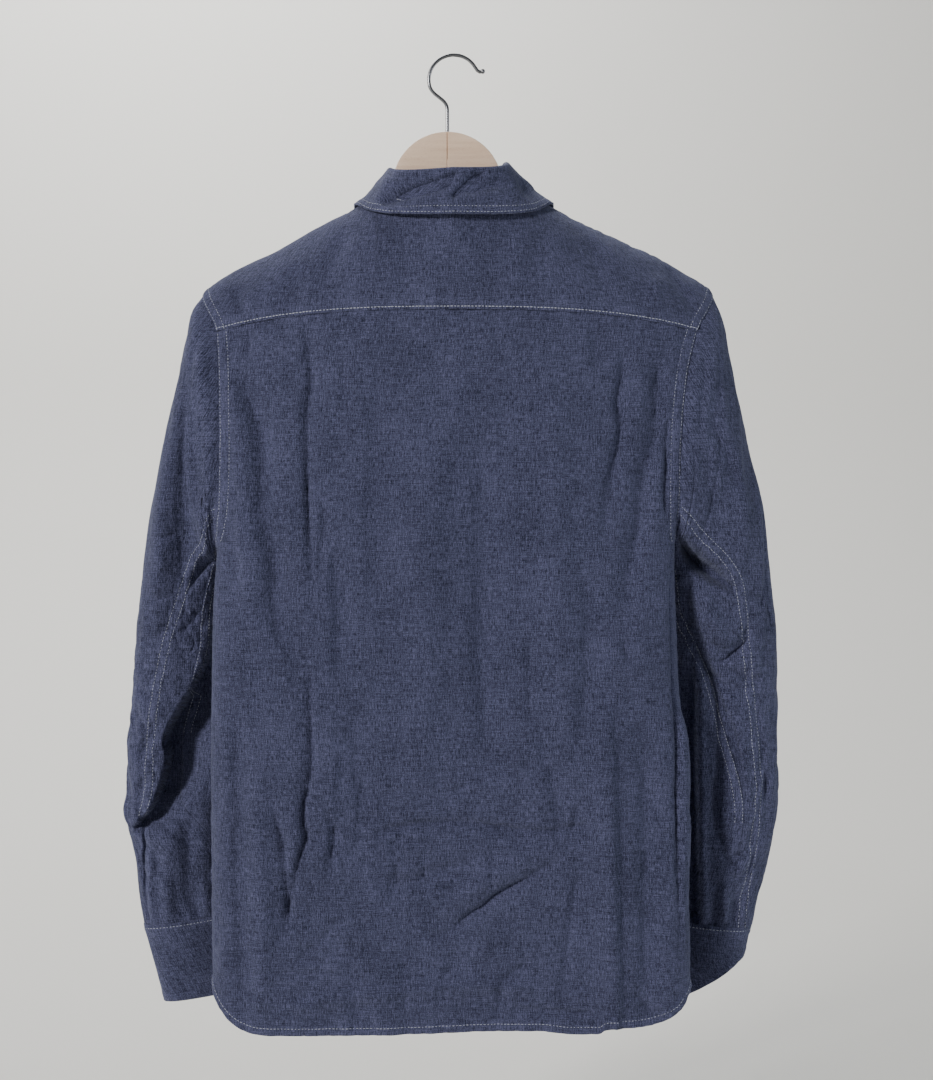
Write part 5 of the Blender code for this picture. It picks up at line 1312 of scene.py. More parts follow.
@material("beech, planed and lacquered")
def planed_beech(tree):
    """Steamed beech, planed and sanded, under thin clear lacquer: pinkish, with a faint
    long grain and short dark ray flecks along it."""
    hanger = bpy.context.scene.shirt_hanger
    place = node(tree, "TexCoord").outputs["Object"]
    grain = stretched(tree, place, (22, 260, 420), 4.0, 0.6)
    bands = stretched(tree, place, (7, 60, 95), 2.0)
    fleck = stretched(tree, place, (420, 1500, 1900), 1.0)
    spot = node(tree, "MapRange", {"Value": fleck, "From Min": 0.60, "From Max": 0.74})
    shade = weighed(tree, ((grain, 1.3), (bands, 0.9)))
    dark = node(tree, "Math", {0: shade, 1: 0.34}, operation="ADD", use_clamp=True)
    flecked = node(tree, "Math", {0: spot.outputs["Result"], 1: 0.5, 2: dark.outputs[0]},
                   operation="MULTIPLY_ADD", use_clamp=True)
    bump = node(tree, "Bump", {"Height": grain, "Strength": 0.25, "Distance": 0.0002})
    colour = node(tree, "Mix", {"Factor": flecked.outputs[0], "A": (*hanger.wood, 1),
                  "B": (*hanger.wood_dark, 1)}, data_type="RGBA")
    return {"Base Color": colour.outputs["Result"], "Normal": bump.outputs["Normal"],
            "Roughness": 0.46, "Coat Weight": 0.25, "Coat Roughness": 0.28}


@material("steel wire, nickel plated")
def plated_wire(tree):
    """Drawn steel wire, bright nickel plated: mirror-like, with faint drawing marks."""
    place = node(tree, "TexCoord").outputs["Object"]
    marks = node(tree, "TexNoise", {"Vector": place, "Scale": 700.0, "Detail": 2.0})
    rough = node(tree, "MapRange", {"Value": marks.outputs["Fac"], "To Min": 0.20,
                 "To Max": 0.36})
    return {"Base Color": (*bpy.context.scene.shirt_hanger.steel, 1), "Metallic": 1.0,
            "Roughness": rough.outputs["Result"]}


@material("background paper, uncoated")
def matt_paper(tree):
    """Uncoated background paper: even, pale and quite matt."""
    pale = bpy.context.scene.shirt_stage.paper
    colour = clouded(tree, [c * 0.96 for c in pale], pale, Scale=1.3, Detail=2.0)
    return {"Base Color": colour, "Roughness": 0.95}


# -------------------- making cloth
def grid_faces(points, normals, start):
    """Quads through a grid, turned the way its normals point."""
    index = start + np.arange(points[..., 0].size).reshape(points.shape[:2])
    quads = np.stack([index[:-1, :-1], index[:-1, 1:], index[1:, 1:], index[1:, :-1]], axis=-1)
    across = points[:-1, 1:] - points[:-1, :-1]
    down = points[1:, :-1] - points[:-1, :-1]
    if np.sum(np.cross(across, down) * normals[:-1, :-1]) > 0:
        return quads.reshape(-1, 4)
    return quads.reshape(-1, 4)[:, ::-1]


Layer = namedtuple("Layer", "points normals u v wear")


def layer_area(layers):
    total = 0.0
    for layer in layers:
        p = layer.points
        crossed = np.cross(p[1:, 1:] - p[:-1, :-1], p[1:, :-1] - p[:-1, 1:])
        total += np.linalg.norm(crossed, axis=-1).sum() / 2
    return total


def cloth_mesh(name, layers):
    """One mesh through some grids, welded where they meet, with its cloth coordinates
    and how far each place stands up: the cloth is painted paler where it stands up, as wear
    and painted highlight, and darker where it lies low, as painted shade."""
    start = 0
    faces = []
    for layer in layers:
        faces.append(grid_faces(layer.points, layer.normals, start))
        start += layer.u.size
    faces = np.concatenate(faces)
    points = np.concatenate([layer.points.reshape(-1, 3) for layer in layers])
    uv = np.concatenate([np.stack([layer.u, layer.v], axis=-1).reshape(-1, 2) for layer in layers])
    mesh = bpy.data.meshes.new(name)
    mesh.from_pydata(points.tolist(), [], faces.tolist())
    mesh.uv_layers.new(name="cloth")
    mesh.uv_layers["cloth"].data.foreach_set("uv", uv[faces.reshape(-1)].reshape(-1))
    mesh.attributes.new("wear", "FLOAT", "POINT")
    mesh.attributes["wear"].data.foreach_set(
        "value", np.concatenate([layer.wear.reshape(-1) for layer in layers]))
    if len(layers) > 1:
        joined = bmesh.new()
        joined.from_mesh(mesh)
        bmesh.ops.remove_doubles(joined, verts=joined.verts, dist=WELD)
        joined.to_mesh(mesh)
        joined.free()
    mesh.shade_smooth()
    return mesh


def dress(piece, look, slot, *nodes):
    """Give a piece its finish, hang it from the root, and hide the CAD nodes that it stands for."""
    piece.data.materials.clear()
    piece.data.materials.append(look)
    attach(piece, "root")
    if nodes:
        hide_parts(*nodes)
    return piece


def show(name, mesh):
    """Put a mesh in the scene as a piece of its own, at the origin."""
    piece = bpy.data.objects.new(name, mesh)
    bpy.context.scene.collection.objects.link(piece)
    return piece


# Each cloth's cut: width and length of the flat piece, its area, which wall it has, the
# CAD nodes that it stands for and what holds it.
Cut = namedtuple("Cut", "width length area wall nodes rests_on")
CUTS = {
    "yoke_cloth": Cut(0.500, 0.265, 0.078, "wall", ("yoke",), ("hanger_left", "hanger_right")),
    "back_cloth": Cut(0.465, 0.670, 0.300, "wall", ("back",), ("yoke_cloth",)),
    "front_left_cloth": Cut(0.270, 0.740, 0.175, "wall", ("front_left",), ("yoke_cloth",)),
    "front_right_cloth": Cut(0.270, 0.740, 0.170, "wall", ("front_right",), ("yoke_cloth",)),
    "placket_cloth": Cut(0.036, 0.700, 0.0245, "wall", ("placket",), ("front_left_cloth",)),
    "stand_cloth": Cut(0.430, 0.034, 0.0132, "band_wall", ("collar_stand",), ("yoke_cloth",)),
    "collar_cloth": Cut(0.470, 0.085, 0.030, "band_wall", ("collar",), ("stand_cloth",)),
    "sleeve_left_cloth": Cut(0.400, 0.620, 0.150, "wall", ("sleeve_left_top", "sleeve_left_under"),
                             ("back_cloth", "front_left_cloth")),
    "sleeve_right_cloth": Cut(0.400, 0.620, 0.150, "wall",
                              ("sleeve_right_top", "sleeve_right_under"),
                              ("back_cloth", "front_right_cloth")),
    "cuff_left_cloth": Cut(0.270, 0.070, 0.0186, "band_wall", ("cuff_left",),
                           ("sleeve_left_cloth",)),
    "cuff_right_cloth": Cut(0.270, 0.065, 0.0160, "band_wall", ("cuff_right",),
                            ("sleeve_right_cloth",)),
}


def hang_cloth(name, layers, runs):
    """Show a sheet of cloth with its wall and its rows of stitches, hide the CAD nodes that it
    stands for, and print its area.
    """
    cut = CUTS[name]
    wall = getattr(bpy.context.scene.shirt_cloth, cut.wall)
    piece = dress(show(name, cloth_mesh(name, layers)), chambray(), "chambray", *cut.nodes)
    solid = piece.modifiers.new("wall", "SOLIDIFY")
    solid.thickness, solid.offset, solid.use_even_offset = wall, 0.0, False
    seams = name.replace("_cloth", "_stitches")
    thread = dress(show(seams, stitch_mesh(seams, runs, wall)), sewing_thread(), "chambray")
    print(f"{name}: one layer {layer_area(layers):.4f} m2")


# -------------------- stitches
Run = namedtuple("Run", "points normals wide", defaults=(1.0,))   # a row of stitches to sew

STITCH_SIDES = 6
STITCH_SHIFT = 0.06        # how uneven the pitch is, as a share of it
STITCH_SUNK = 0.75         # root of how deep a stitch may lie, in half widths
STITCH_FLAT = 0.8          # its height against its width
STITCH_RINGS = ((-0.5, 0.45, -0.35), (0.0, 1.0, 0.25), (0.5, 0.45, -0.35))  # along, width, lift
STITCH_POINTS = STITCH_SIDES * len(STITCH_RINGS)


def row_beside(layer, line, distance, axis):
    """A row of stitches along a line of a grid, at a distance to one side of it."""
    places = grid_between(layer.points, line, distance, axis)
    return Run(read_grid(layer.points, places, axis), unit(read_grid(layer.normals, places, axis)))


def rows_beside(layer, lines, distances, axis):
    return [row_beside(layer, line, distance, axis) for line in lines for distance in distances]


def part_of(run, first, last):
    """The part of a run between two shares of its length."""
    along = lengths(run.points)
    along = along / along[-1]
    inside = (along >= first) & (along <= last)
    return Run(run.points[inside], run.normals[inside], run.wide)


def above(run, drop):
    """The part of a run that is higher than a drop."""
    higher = -run.points[:, 2] < drop
    return Run(run.points[higher], run.normals[higher], run.wide)


def stitch_frames(run, pitch, seed):
    """Where each stitch of a run lies: its middle, its direction and the cloth's normal."""
    along = lengths(run.points)
    count = int(along[-1] / pitch)
    if count < 1:
        return [np.zeros((0, 3))] * 3
    shift = np.random.default_rng(seed).uniform(-STITCH_SHIFT, STITCH_SHIFT, count)
    at = (np.arange(count) + 0.5 + shift) * along[-1] / count

    def there(values, move=0):
        return np.stack([np.interp(at + move, along, values[:, k]) for k in range(3)], axis=1)

    half = pitch * 0.3
    ahead, behind = there(run.points, half), there(run.points, -half)
    return there(run.points), unit(ahead - behind), unit(there(run.normals))


def stitch_mesh(name, runs, wall):
    """All the stitches of a piece as one mesh of small spindles, part sunk in the cloth."""
    thread = bpy.context.scene.shirt_thread
    turn = np.arange(STITCH_SIDES) * 2 * math.pi / STITCH_SIDES
    points, quads, caps = [], [], []
    start = 0
    for number, run in enumerate(runs):
        middle, along, normal = stitch_frames(run, thread.pitch, number)
        across = np.cross(normal, along)
        draws = np.random.default_rng(number + 500)
        sunk = draws.uniform(0, STITCH_SUNK, (len(middle), 1)) ** 2
        half = thread.width / 2 * run.wide
        long = thread.stitch * math.sqrt(run.wide)
        surface = middle + normal * (wall / 2 - sunk * half / run.wide)
        rings = []
        for place, wide, lift in STITCH_RINGS:
            centre = surface + along * (place * long) + normal * (lift * half)
            rings.append(centre[:, None] + across[:, None] * (np.cos(turn) * wide * half)[:, None]
                         + normal[:, None] * (np.sin(turn) * wide * half * STITCH_FLAT)[:, None])
        points.append(np.stack(rings, axis=1).reshape(-1, 3))
        base = start + np.arange(len(middle)) * STITCH_POINTS
        for a in range(STITCH_POINTS - STITCH_SIDES):
            b = a + 1 if (a + 1) % STITCH_SIDES else a + 1 - STITCH_SIDES
            quads.append(np.stack([base + a, base + b, base + b + STITCH_SIDES,
                                   base + a + STITCH_SIDES], axis=1))
        caps.append(base[:, None] + np.arange(STITCH_SIDES)[::-1])
        caps.append(base[:, None] + STITCH_POINTS - STITCH_SIDES + np.arange(STITCH_SIDES))
        start += len(middle) * STITCH_POINTS
    mesh = bpy.data.meshes.new(name)
    faces = np.concatenate(quads).tolist() + np.concatenate(caps).tolist()
    mesh.from_pydata(np.concatenate(points).tolist(), [], faces)
    mesh.shade_smooth()
    return mesh


# -------------------- panels
WEAR_SHADE_RELIEF = 0.0011       # from the lowest place, which is never rubbed and is painted darkest as shade, to the most worn, painted palest as wear and highlight


def raised(points, normals, height):
    return points + normals * height[..., None]


def wear_and_shade_of(relief):
    """How pale to paint a place: high where the relief stands up and rubs, as wear and painted
    highlight; low in stitch dips and at edges sunk under the yoke or into the cuff, as painted
    shade.
    """
    return np.clip(0.5 + relief / WEAR_SHADE_RELIEF, 0, 1)


def sewn(points, normals, waves, relief, u, v):
    """A layer of cloth: its grid moved out by its waves and by its seams' relief."""
    return Layer(raised(points, normals, waves + relief), normals, u, v, wear_and_shade_of(relief))


def sunk_top(v):
    """A panel's top edge lies a little deeper, under the yoke's turned edge."""
    return SINK * (1 - ease(v / SINK_WIDTH))


def edge_relief(away, along, seed, arm=1.0):
    """A felled seam with its two rows, beside a panel's edge."""
    return (fell(away) + stitched(away, ROW_NEAR, ROW_FAR) + pucker(away, along, seed)) * arm


def hem_relief(away, along, seed):
    """A narrow turned hem: one row, and the slant ripples that its turning leaves."""
    slant = along + away * 0.8
    return (fell(away, HEM_WIDTH, 0.0009) + stitched(away, HEM_ROW)
            + pucker(away, slant, seed, 0.0006, 0.009) + 0.00035 * np.exp(-(away / 0.006) ** 2)
            * uneven(slant, away, 0.009, 0.02, seed + 2))


def yoke_layers(strength):
    """The yoke's three grids with their relief; the edge turned over the back stands off."""
    layers = {}
    for key, (points, u, v) in yoke_grids().items():
        normals = form_normal(points)
        seam, arm = v, np.full(u.shape, FAR)
        if key != "middle":
            arm = np.abs(u[:, -1:] - u)
            seam = np.where(np.arange(len(v))[:, None] <= YOKE_ROWS, v, v[-1] - v)
        x, drop = points[..., 0], -points[..., 2]
        behind = ease((points[..., 1] + 0.010) / 0.020)
        waves = (crease_height(x, drop, YOKE_CREASES, BODY_DEPTH) * behind
                 + rumple(x, v, 31, strength * 0.8) + crinkle(x, v, 35, strength * 0.6))
        relief = (fell(seam, ROW_FAR, YOKE_OVER) + stitched(seam, YOKE_ROW)
                  + pucker(seam, x, 41, 0.00055) + edge_relief(arm, v, 43))
        hold = still_beside(seam) * still_beside(arm)
        final = raised(points, normals, waves * hold + relief)
        final[0] -= unit(final[1] - final[0]) * YOKE_TUCK
        if key != "middle":
            final[-1] -= unit(final[-2] - final[-1]) * YOKE_TUCK
        layers[key] = Layer(final, normals, u, drop[:1] - v, wear_and_shade_of(relief))
    return layers


def build_yoke():
    layers = yoke_layers(bpy.context.scene.shirt_cloth.rumple)
    left, middle, right = layers[LEFT], layers["middle"], layers[RIGHT]
    seam = [row_beside(layer, 0, YOKE_ROW, 0) for layer in (left, middle, right)]
    whole = [np.concatenate([getattr(seam[0], name)[::-1][:-1], getattr(seam[1], name),
                             getattr(seam[2], name)[1:]]) for name in ("points", "normals")]
    runs = [Run(*whole, 1.55)]
    for layer in (left, right):
        runs += rows_beside(layer, (-1,), (ROW_NEAR, ROW_FAR), 1)
        runs.append(row_beside(layer, -1, YOKE_FRONT_ROW, 0))
    hang_cloth("yoke_cloth", [middle, left, right], runs)


def build_back():
    strength = bpy.context.scene.shirt_cloth.rumple
    points, u, v = back_grid()
    x, drop = points[..., 0], -points[..., 2]
    left, right = u - u[:, :1], u[:, -1:] - u
    arm = 1 - ease((drop - ARMPIT_DROP + 0.006) / 0.012)
    hold = still_beside(v) * still_beside(left) * still_beside(right)
    lower = 0.45 + 0.55 * np.maximum(ease((drop - 0.50) / 0.15), ease((np.abs(x) - 0.10) / 0.05))
    waves = (crease_height(x, drop, BACK_CREASES, BODY_DEPTH) + rumple(u, v, 11, strength)
             + crinkle(u, v, 15, strength) * lower
             + crinkle(u, v, 19, 0.8 * strength, 0.034, 0.015, 0.20) * lower)
    relief = (edge_relief(left, v, 51, arm) + edge_relief(right, v, 53, arm)
              + hem_relief(v[-1] - v, u, 55) + pucker(v, u, 57, 0.0005, 0.014)
              + (pucker(left, v, 59) + pucker(right, v, 61)) * 0.5 * (1 - arm) - sunk_top(v))
    layer = sewn(points, form_normal(points), waves * hold, relief, u, drop)
    side_part = (ARMPIT_DROP - BACK_SEAM_DROP - BACK_SEAM_FALL) / (HEM_DROP - BACK_SEAM_DROP - 0.05)
    runs = [row_beside(layer, -1, HEM_ROW, 0)._replace(wide=1.15)]
    runs += [part_of(run, 0.0, side_part)
             for run in rows_beside(layer, (0, -1), (ROW_NEAR, ROW_FAR + 0.0015), 1)]
    hang_cloth("back_cloth", [layer], runs)


def front_layer(side, strength):
    points, u, v = front_grid(side)
    x, drop = points[..., 0], -points[..., 2]
    centre = u[:, -1:] - u
    hold = still_beside(v) * still_beside(u) * ease((centre - 0.030) / 0.030)
    waves = (crease_height(x, drop, FRONT_CREASES, BODY_DEPTH) + rumple(u, v, 71 + side, strength)
             + crinkle(u, v, 85 + side, strength))
    hem = hem_relief(v[-1] - v, u, 75 + side) * ease(centre / 0.04)
    relief = (edge_relief(u, v, 73 + side) + hem
              + pucker(v, u, 77 + side, 0.0005, 0.014) - sunk_top(v))
    return sewn(points, form_normal(points), waves * hold, relief, -centre, drop)


def build_fronts():
    for side, word in SIDES:
        layer = front_layer(side, bpy.context.scene.shirt_cloth.rumple)
        runs = [row_beside(layer, -1, HEM_ROW, 0)]
        runs += rows_beside(layer, (0,), (ROW_NEAR, ROW_FAR), 1)
        if side == RIGHT:
            runs.append(row_beside(layer, -1, FACING_ROW, 1))
        hang_cloth(f"front_{word}_cloth", [layer], runs)


def build_placket():
    points, u, v = placket_grid()
    back = u[:, -1:] - u
    relief = (pucker(u, v, 81, 0.0003, 0.006) + pucker(back, v, 83, 0.0003, 0.006)
              + stitched(u, PLACKET_ROW) + stitched(back, PLACKET_ROW)) * ease(v / 0.01)
    layer = sewn(points, form_normal(points), 0.0, relief, u, v)
    runs = rows_beside(layer, (0, -1), (PLACKET_ROW,), 1) + buttonhole_runs(layer)
    hang_cloth("placket_cloth", [layer], runs)


BUTTONHOLE_LONG = 0.0165
BUTTONHOLE_APART = 0.0014
BUTTONHOLE_STITCHES = 17


def buttonhole_runs(layer):
    """Two close rows of cross stitches each side of a slit, over and under each button."""
    runs = []
    middle = PLACKET_COLUMNS // 2
    for number in range(1, 7):
        low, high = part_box(f"button_front_{number}")
        middle_drop = -(low[2] + high[2]) / 2
        for drop in np.linspace(middle_drop - BUTTONHOLE_LONG / 2,
                                middle_drop + BUTTONHOLE_LONG / 2, BUTTONHOLE_STITCHES):
            row = int(np.argmin(np.abs(-layer.points[:, middle, 2] - drop)))
            line = layer.points[row]
            normal = np.repeat(layer.normals[row, middle][None], 2, axis=0)
            for sign in (-1, 1):
                x = np.array([sign * BUTTONHOLE_APART * 0.35, sign * BUTTONHOLE_APART * 1.9])
                place = np.stack([np.interp(-x, -line[:, 0], line[:, k]) for k in range(3)], axis=1)
                place[:, 2] = -drop
                runs.append(Run(place, normal))
    return runs


# -------------------- collar and stand
def build_stand():
    points, u, v = stand_grid()
    relief = rumple(u, v, 91, 0.2) * ease(v / 0.006)
    layer = sewn(points, outward_normals(points), 0.0, relief, u, v)
    hang_cloth("stand_cloth", [layer], [row_beside(layer, 0, BAND_ROW, 0)])


def build_collar():
    strength = bpy.context.scene.shirt_cloth.rumple
    points, u, v = collar_grid()
    x, drop = points[..., 0], -points[..., 2]
    edge = v[-1] - v
    leaf_from = len(points) - COLLAR_LEAF_ROWS
    leaf = ease((np.arange(len(points)) - leaf_from + 4) / 6)[:, None]
    behind = ease(points[..., 1] / 0.02)
    waves = (crease_height(x, drop, COLLAR_CREASES, BODY_DEPTH) * behind * leaf
             * still_beside(edge, 0.008) + rumple(u, v, 95, 0.35 * strength) * leaf)
    near = np.minimum(edge, np.minimum(u - u[:, :1], u[:, -1:] - u))
    relief = (0.00035 * (1 - ease((near - COLLAR_ROW) / 0.001))
              + stitched(near, BAND_ROW, COLLAR_ROW) + pucker(near, u, 97, 0.00028, 0.009)) * leaf
    layer = sewn(points, outward_normals(points), waves, relief, u, v)
    runs = []
    for distance in (BAND_ROW, COLLAR_ROW):
        runs.append(row_beside(layer, -1, distance, 0))
        for end in rows_beside(layer, (0, -1), (distance,), 1):
            runs.append(Run(end.points[leaf_from + 2:], end.normals[leaf_from + 2:]))
    hang_cloth("collar_cloth", [layer], runs)


# -------------------- sleeves and cuffs
SEAM_REACH = 0.03          # how far to its felled side a sleeve's seam is looked at
SLEEVE_CREASES = {LEFT: (LEFT_SLEEVE_CREASES, LEFT_SLEEVE_FOLDS),
                  RIGHT: (RIGHT_SLEEVE_CREASES, RIGHT_SLEEVE_FOLDS)}
# Where each seam's rows go out of sight under a fold: back seam, under seam.
SEAM_ENDS = {LEFT: (0.700, 0.628), RIGHT: (0.900, 0.705)}
GATHERS = 0.0011           # ripples where the sleeve is gathered into its cuff
SLEEVE_INTO_CUFF = 0.0008


def beside_seam(around, seam, girth):
    """Distance around a closed sleeve from a seam, either way."""
    away = np.abs(around - seam)
    return np.minimum(away, girth - away)


def sleeve_cut(points, turns):
    """Where each place of a sleeve was on the flat cloth: across from the sleeve's outer line
    at the same height, towards its back or its front, and down along that line."""
    x, y, drop = points[..., 0], points[..., 1], -points[..., 2]
    line = np.array([[np.interp(360, turn, row) for turn, row in zip(turns, values)]
                     for values in (x, y, drop)])
    line_x, line_y, line_drop = line[:, np.argsort(line[2])]
    length = np.concatenate([[0], np.cumsum(np.hypot(np.diff(line_drop), np.diff(line_x)))])
    across = np.hypot(x - np.interp(drop, line_drop, line_x),
                      y - np.interp(drop, line_drop, line_y))
    return across * np.sign(turns - 360), np.interp(drop, line_drop, length)


def sleeve_layer(side, strength):
    (points, u, v), turns = sleeve_grid(side)
    normals = outward_normals(points, closed=True)
    girth = u[:, -1:]
    back_seam = u[:, SLEEVE_TOP_COLUMNS:SLEEVE_TOP_COLUMNS + 1]
    turn = np.radians(turns)
    behind = np.clip(np.sin(turn), 0, 1) ** 0.7
    before = np.clip(-np.sin(turn), 0, 1) ** 0.7
    x, drop = np.abs(points[..., 0]), -points[..., 2]
    end_away = v[-1:] - v
    hold = still_beside(v - v[2:3], 0.016) * still_beside(end_away, 0.012)
    table, folds = SLEEVE_CREASES[side]
    seen = crease_height(x, drop, table, SLEEVE_DEPTH) + fold_height(x, drop, folds)
    hidden = crease_height(x, drop, SLEEVE_FRONT_CREASES, SLEEVE_DEPTH)
    moved = points.copy()
    moved[..., 1] += (seen * behind - hidden * before) * hold
    seed = 101 + 10 * side
    joined = ease(u / 0.02)
    rumples = sum((rumple(at, v, seed, strength) + crinkle(at, v, seed + 5, strength)
                   + crumple(at, v, seed + 9, strength)) * share
                  for at, share in ((u, joined), (u + girth, 1 - joined)))
    gather = (GATHERS * uneven(u / girth * 0.30, v, 0.0075, 0.2, 131 + side)
              * np.exp(-(end_away / 0.022) ** 1.3) * ease(end_away / 0.004))
    start_pucker = pucker(v, u, 141 + side, 0.0006, 0.011) * ease(v / 0.004)
    relief = gather + start_pucker - SLEEVE_INTO_CUFF * (1 - ease(end_away / 0.004))
    for past, seam, seed in ((u - back_seam, back_seam, 151), (u, 0 * girth, 153)):
        felled = fell(np.abs(past), FELL_WIDTH, 0.0005) + stitched(np.abs(past), ROW_NEAR, ROW_FAR)
        relief = relief + np.where((past >= 0) & (past < SEAM_REACH), felled, 0)
        relief = relief + pucker(beside_seam(u, seam, girth), v, seed + side, 0.0005, 0.012)
    final = raised(moved, normals, rumples * hold + relief)
    return Layer(final, outward_normals(final, closed=True), *sleeve_cut(points, turns),
                 wear_and_shade_of(relief))


def build_sleeves():
    for side, word in SIDES:
        layer = sleeve_layer(side, bpy.context.scene.shirt_cloth.rumple)
        runs = [above(part_of(run, 0.012, 0.996), end)
                for line, end in zip((SLEEVE_TOP_COLUMNS, 0), SEAM_ENDS[side])
                for run in rows_beside(layer, (line,), (ROW_NEAR, ROW_FAR), 1)]
        hang_cloth(f"sleeve_{word}_cloth", [layer], runs)


def build_cuffs():
    strength = bpy.context.scene.shirt_cloth.rumple
    for side, word in SIDES:
        points, u, v = cuff_grid(side)
        last = u[:, -1:] - u
        near = np.minimum(np.minimum(u, last), np.minimum(v[-1:] - v, v - 0.0015))
        waves = rumple(u, v, 161 + side, 0.8 * strength) * still_beside(u) * still_beside(last)
        relief = (0.0003 * (1 - ease((near - 0.006) / 0.001)) + stitched(near, BAND_ROW, 0.0065)
                  + pucker(near, u + v, 165 + side, 0.0004, 0.010))
        layer = sewn(points, outward_normals(points), waves, relief, u, v)
        runs = [row_beside(layer, 0, BAND_ROW + 0.0015, 0)]
        runs += rows_beside(layer, (0, -1), (BAND_ROW,), 1)
        hang_cloth(f"cuff_{word}_cloth", [layer], runs)


# -------------------- hard pieces
# Insets of a button's face and how far each is let in, as shares of its radius and height.
BUTTON_STEPS = ((0.17, 0), (0.10, 0.32), (0.30, 0.05))
BUTTON_HOLES_OUT = 0.30    # share of the radius, each way from the middle
BUTTON_BAR = 0.00042       # radius of the thread through two of its holes
BUTTON_BAR_LIFTS = (0.19, 0.32)    # of the two crossing threads, as shares of its height


def active(*pieces):
    """Select these pieces alone, the first as the active one."""
    bpy.ops.object.select_all(action="DESELECT")
    for piece in pieces:
        piece.select_set(True)
    bpy.context.view_layer.objects.active = pieces[0]


def joined(name, *pieces):
    """Join pieces into the first, with their places in its mesh."""
    active(*pieces)
    bpy.ops.object.join()
    bpy.ops.object.transform_apply(location=True, rotation=True, scale=True)
    return added(name)


def finished(piece, name, kind, **settings):
    """Put a modifier on a piece and apply it."""
    modifier = piece.modifiers.new(name, kind)
    for setting, value in settings.items():
        setattr(modifier, setting, value)
    active(piece)
    bpy.ops.object.modifier_apply(modifier=modifier.name)
    return piece


def added(name):
    """The primitive just added, by its new name."""
    made = bpy.context.object
    made.name = made.data.name = name
    return made


def cut_hole(piece, place, radius, deep):
    bpy.ops.mesh.primitive_cylinder_add(vertices=20, radius=radius, depth=deep, location=place)
    drill = added("drill")
    finished(piece, "hole", "BOOLEAN", operation="DIFFERENCE", object=drill, solver="EXACT")
    bpy.data.objects.remove(drill)


def button_shape():
    """A four-hole button, its face up and its middle at the origin."""
    button = bpy.context.scene.shirt_button
    bpy.ops.mesh.primitive_cylinder_add(vertices=48, radius=button.radius, depth=button.thick)
    piece = added("button_shape")
    bpy.ops.object.mode_set(mode="EDIT")
    bpy.ops.mesh.select_all(action="DESELECT")
    bpy.ops.mesh.select_mode(type="FACE")
    bpy.ops.object.mode_set(mode="OBJECT")
    for face in piece.data.polygons:
        face.select = face.normal.z > 0.9
    bpy.ops.object.mode_set(mode="EDIT")
    for inset, sink in BUTTON_STEPS:
        bpy.ops.mesh.inset(thickness=button.radius * inset)
        if sink:
            bpy.ops.transform.translate(value=(0, 0, -button.thick * sink))
    bpy.ops.object.mode_set(mode="OBJECT")
    finished(piece, "rim", "BEVEL", width=0.0004, segments=3, limit_method="ANGLE",
             angle_limit=math.radians(30))
    apart = button.radius * BUTTON_HOLES_OUT
    for x in (-apart, apart):
        for y in (-apart, apart):
            cut_hole(piece, (x, y, 0), button.hole, button.thick * 3)
    active(piece)
    bpy.ops.object.shade_smooth_by_angle(angle=math.radians(35))
    return piece


def thread_shape():
    """Two crossing bars of thread through a button's holes."""
    button = bpy.context.scene.shirt_button
    bars = []
    for turn, lift in zip((45, 135), BUTTON_BAR_LIFTS):
        bpy.ops.mesh.primitive_cylinder_add(
            vertices=10, radius=BUTTON_BAR, depth=button.radius * BUTTON_HOLES_OUT * 2.7,
            location=(0, 0, button.thick * lift),
            rotation=(math.radians(90), 0, math.radians(turn)))
        bars.append(added("thread_bar"))
    piece = joined("thread_shape", *bars)
    finished(piece, "round", "BEVEL", width=0.0002, segments=2, limit_method="ANGLE")
    bpy.ops.object.shade_smooth()
    return piece


def button_place(name):
    """Where the CAD button lies, from its own points: middle and the way it faces."""
    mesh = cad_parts[name].data
    points = np.empty(len(mesh.vertices) * 3)
    mesh.vertices.foreach_get("co", points)
    points = np.unique(points.reshape(-1, 3).round(7), axis=0)
    middle = (points.min(axis=0) + points.max(axis=0)) / 2
    _, _, axes = np.linalg.svd(points - points.mean(axis=0), full_matrices=False)
    face = axes[2] if axes[2][1] < 0 else -axes[2]
    across = unit(np.cross((0, 0, 1), face))
    place = Matrix.Identity(4)
    for k, axis in enumerate((across, np.cross(face, across), face)):
        place.col[k][:3] = axis.tolist()
    place.col[3][:3] = middle.tolist()
    return place


def build_buttons():
    shape, cross = button_shape(), thread_shape()
    for name in sorted(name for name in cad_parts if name.startswith("button_")):
        place = button_place(name)
        for source, word, look, nodes in ((shape, "_disc", cast_button(), (name,)),
                                          (cross, "_thread", sewing_thread(), ())):
            mesh = source.data.copy()
            mesh.transform(place)
            dress(show(name + word, mesh), look, "button", *nodes)
    bpy.data.objects.remove(shape)
    bpy.data.objects.remove(cross)


def wood_top(x):
    """Drop of the wood's top line: the shoulders, with a dome at the hook."""
    side = LEFT if x >= 0 else RIGHT
    shoulder = (float(ridge_drop(max(abs(x), NECK_HALF), side)) + WOOD_CLEAR
                - WOOD_NECK_RISE * max(NECK_HALF - abs(x), 0) / NECK_HALF)
    out = abs(x - STEM_X)
    if out < WOOD_DOME:
        return min(shoulder, WOOD_DOME_DROP + WOOD_DOME - math.sqrt(WOOD_DOME ** 2 - out ** 2))
    return shoulder


WOOD_TIP_ROUND = 0.012
WOOD_TIP_SHARE = 0.2       # how much of its height, squared, the arm keeps at its tip
WOOD_STATIONS = 72
JOINT_GAP = 0.0001
JOINT_EASE = (0.0006, 0.82)    # its edges are eased: along the arm, share of its thickness
SAME_X = 0.0002            # points closer than this along the arm are of one section


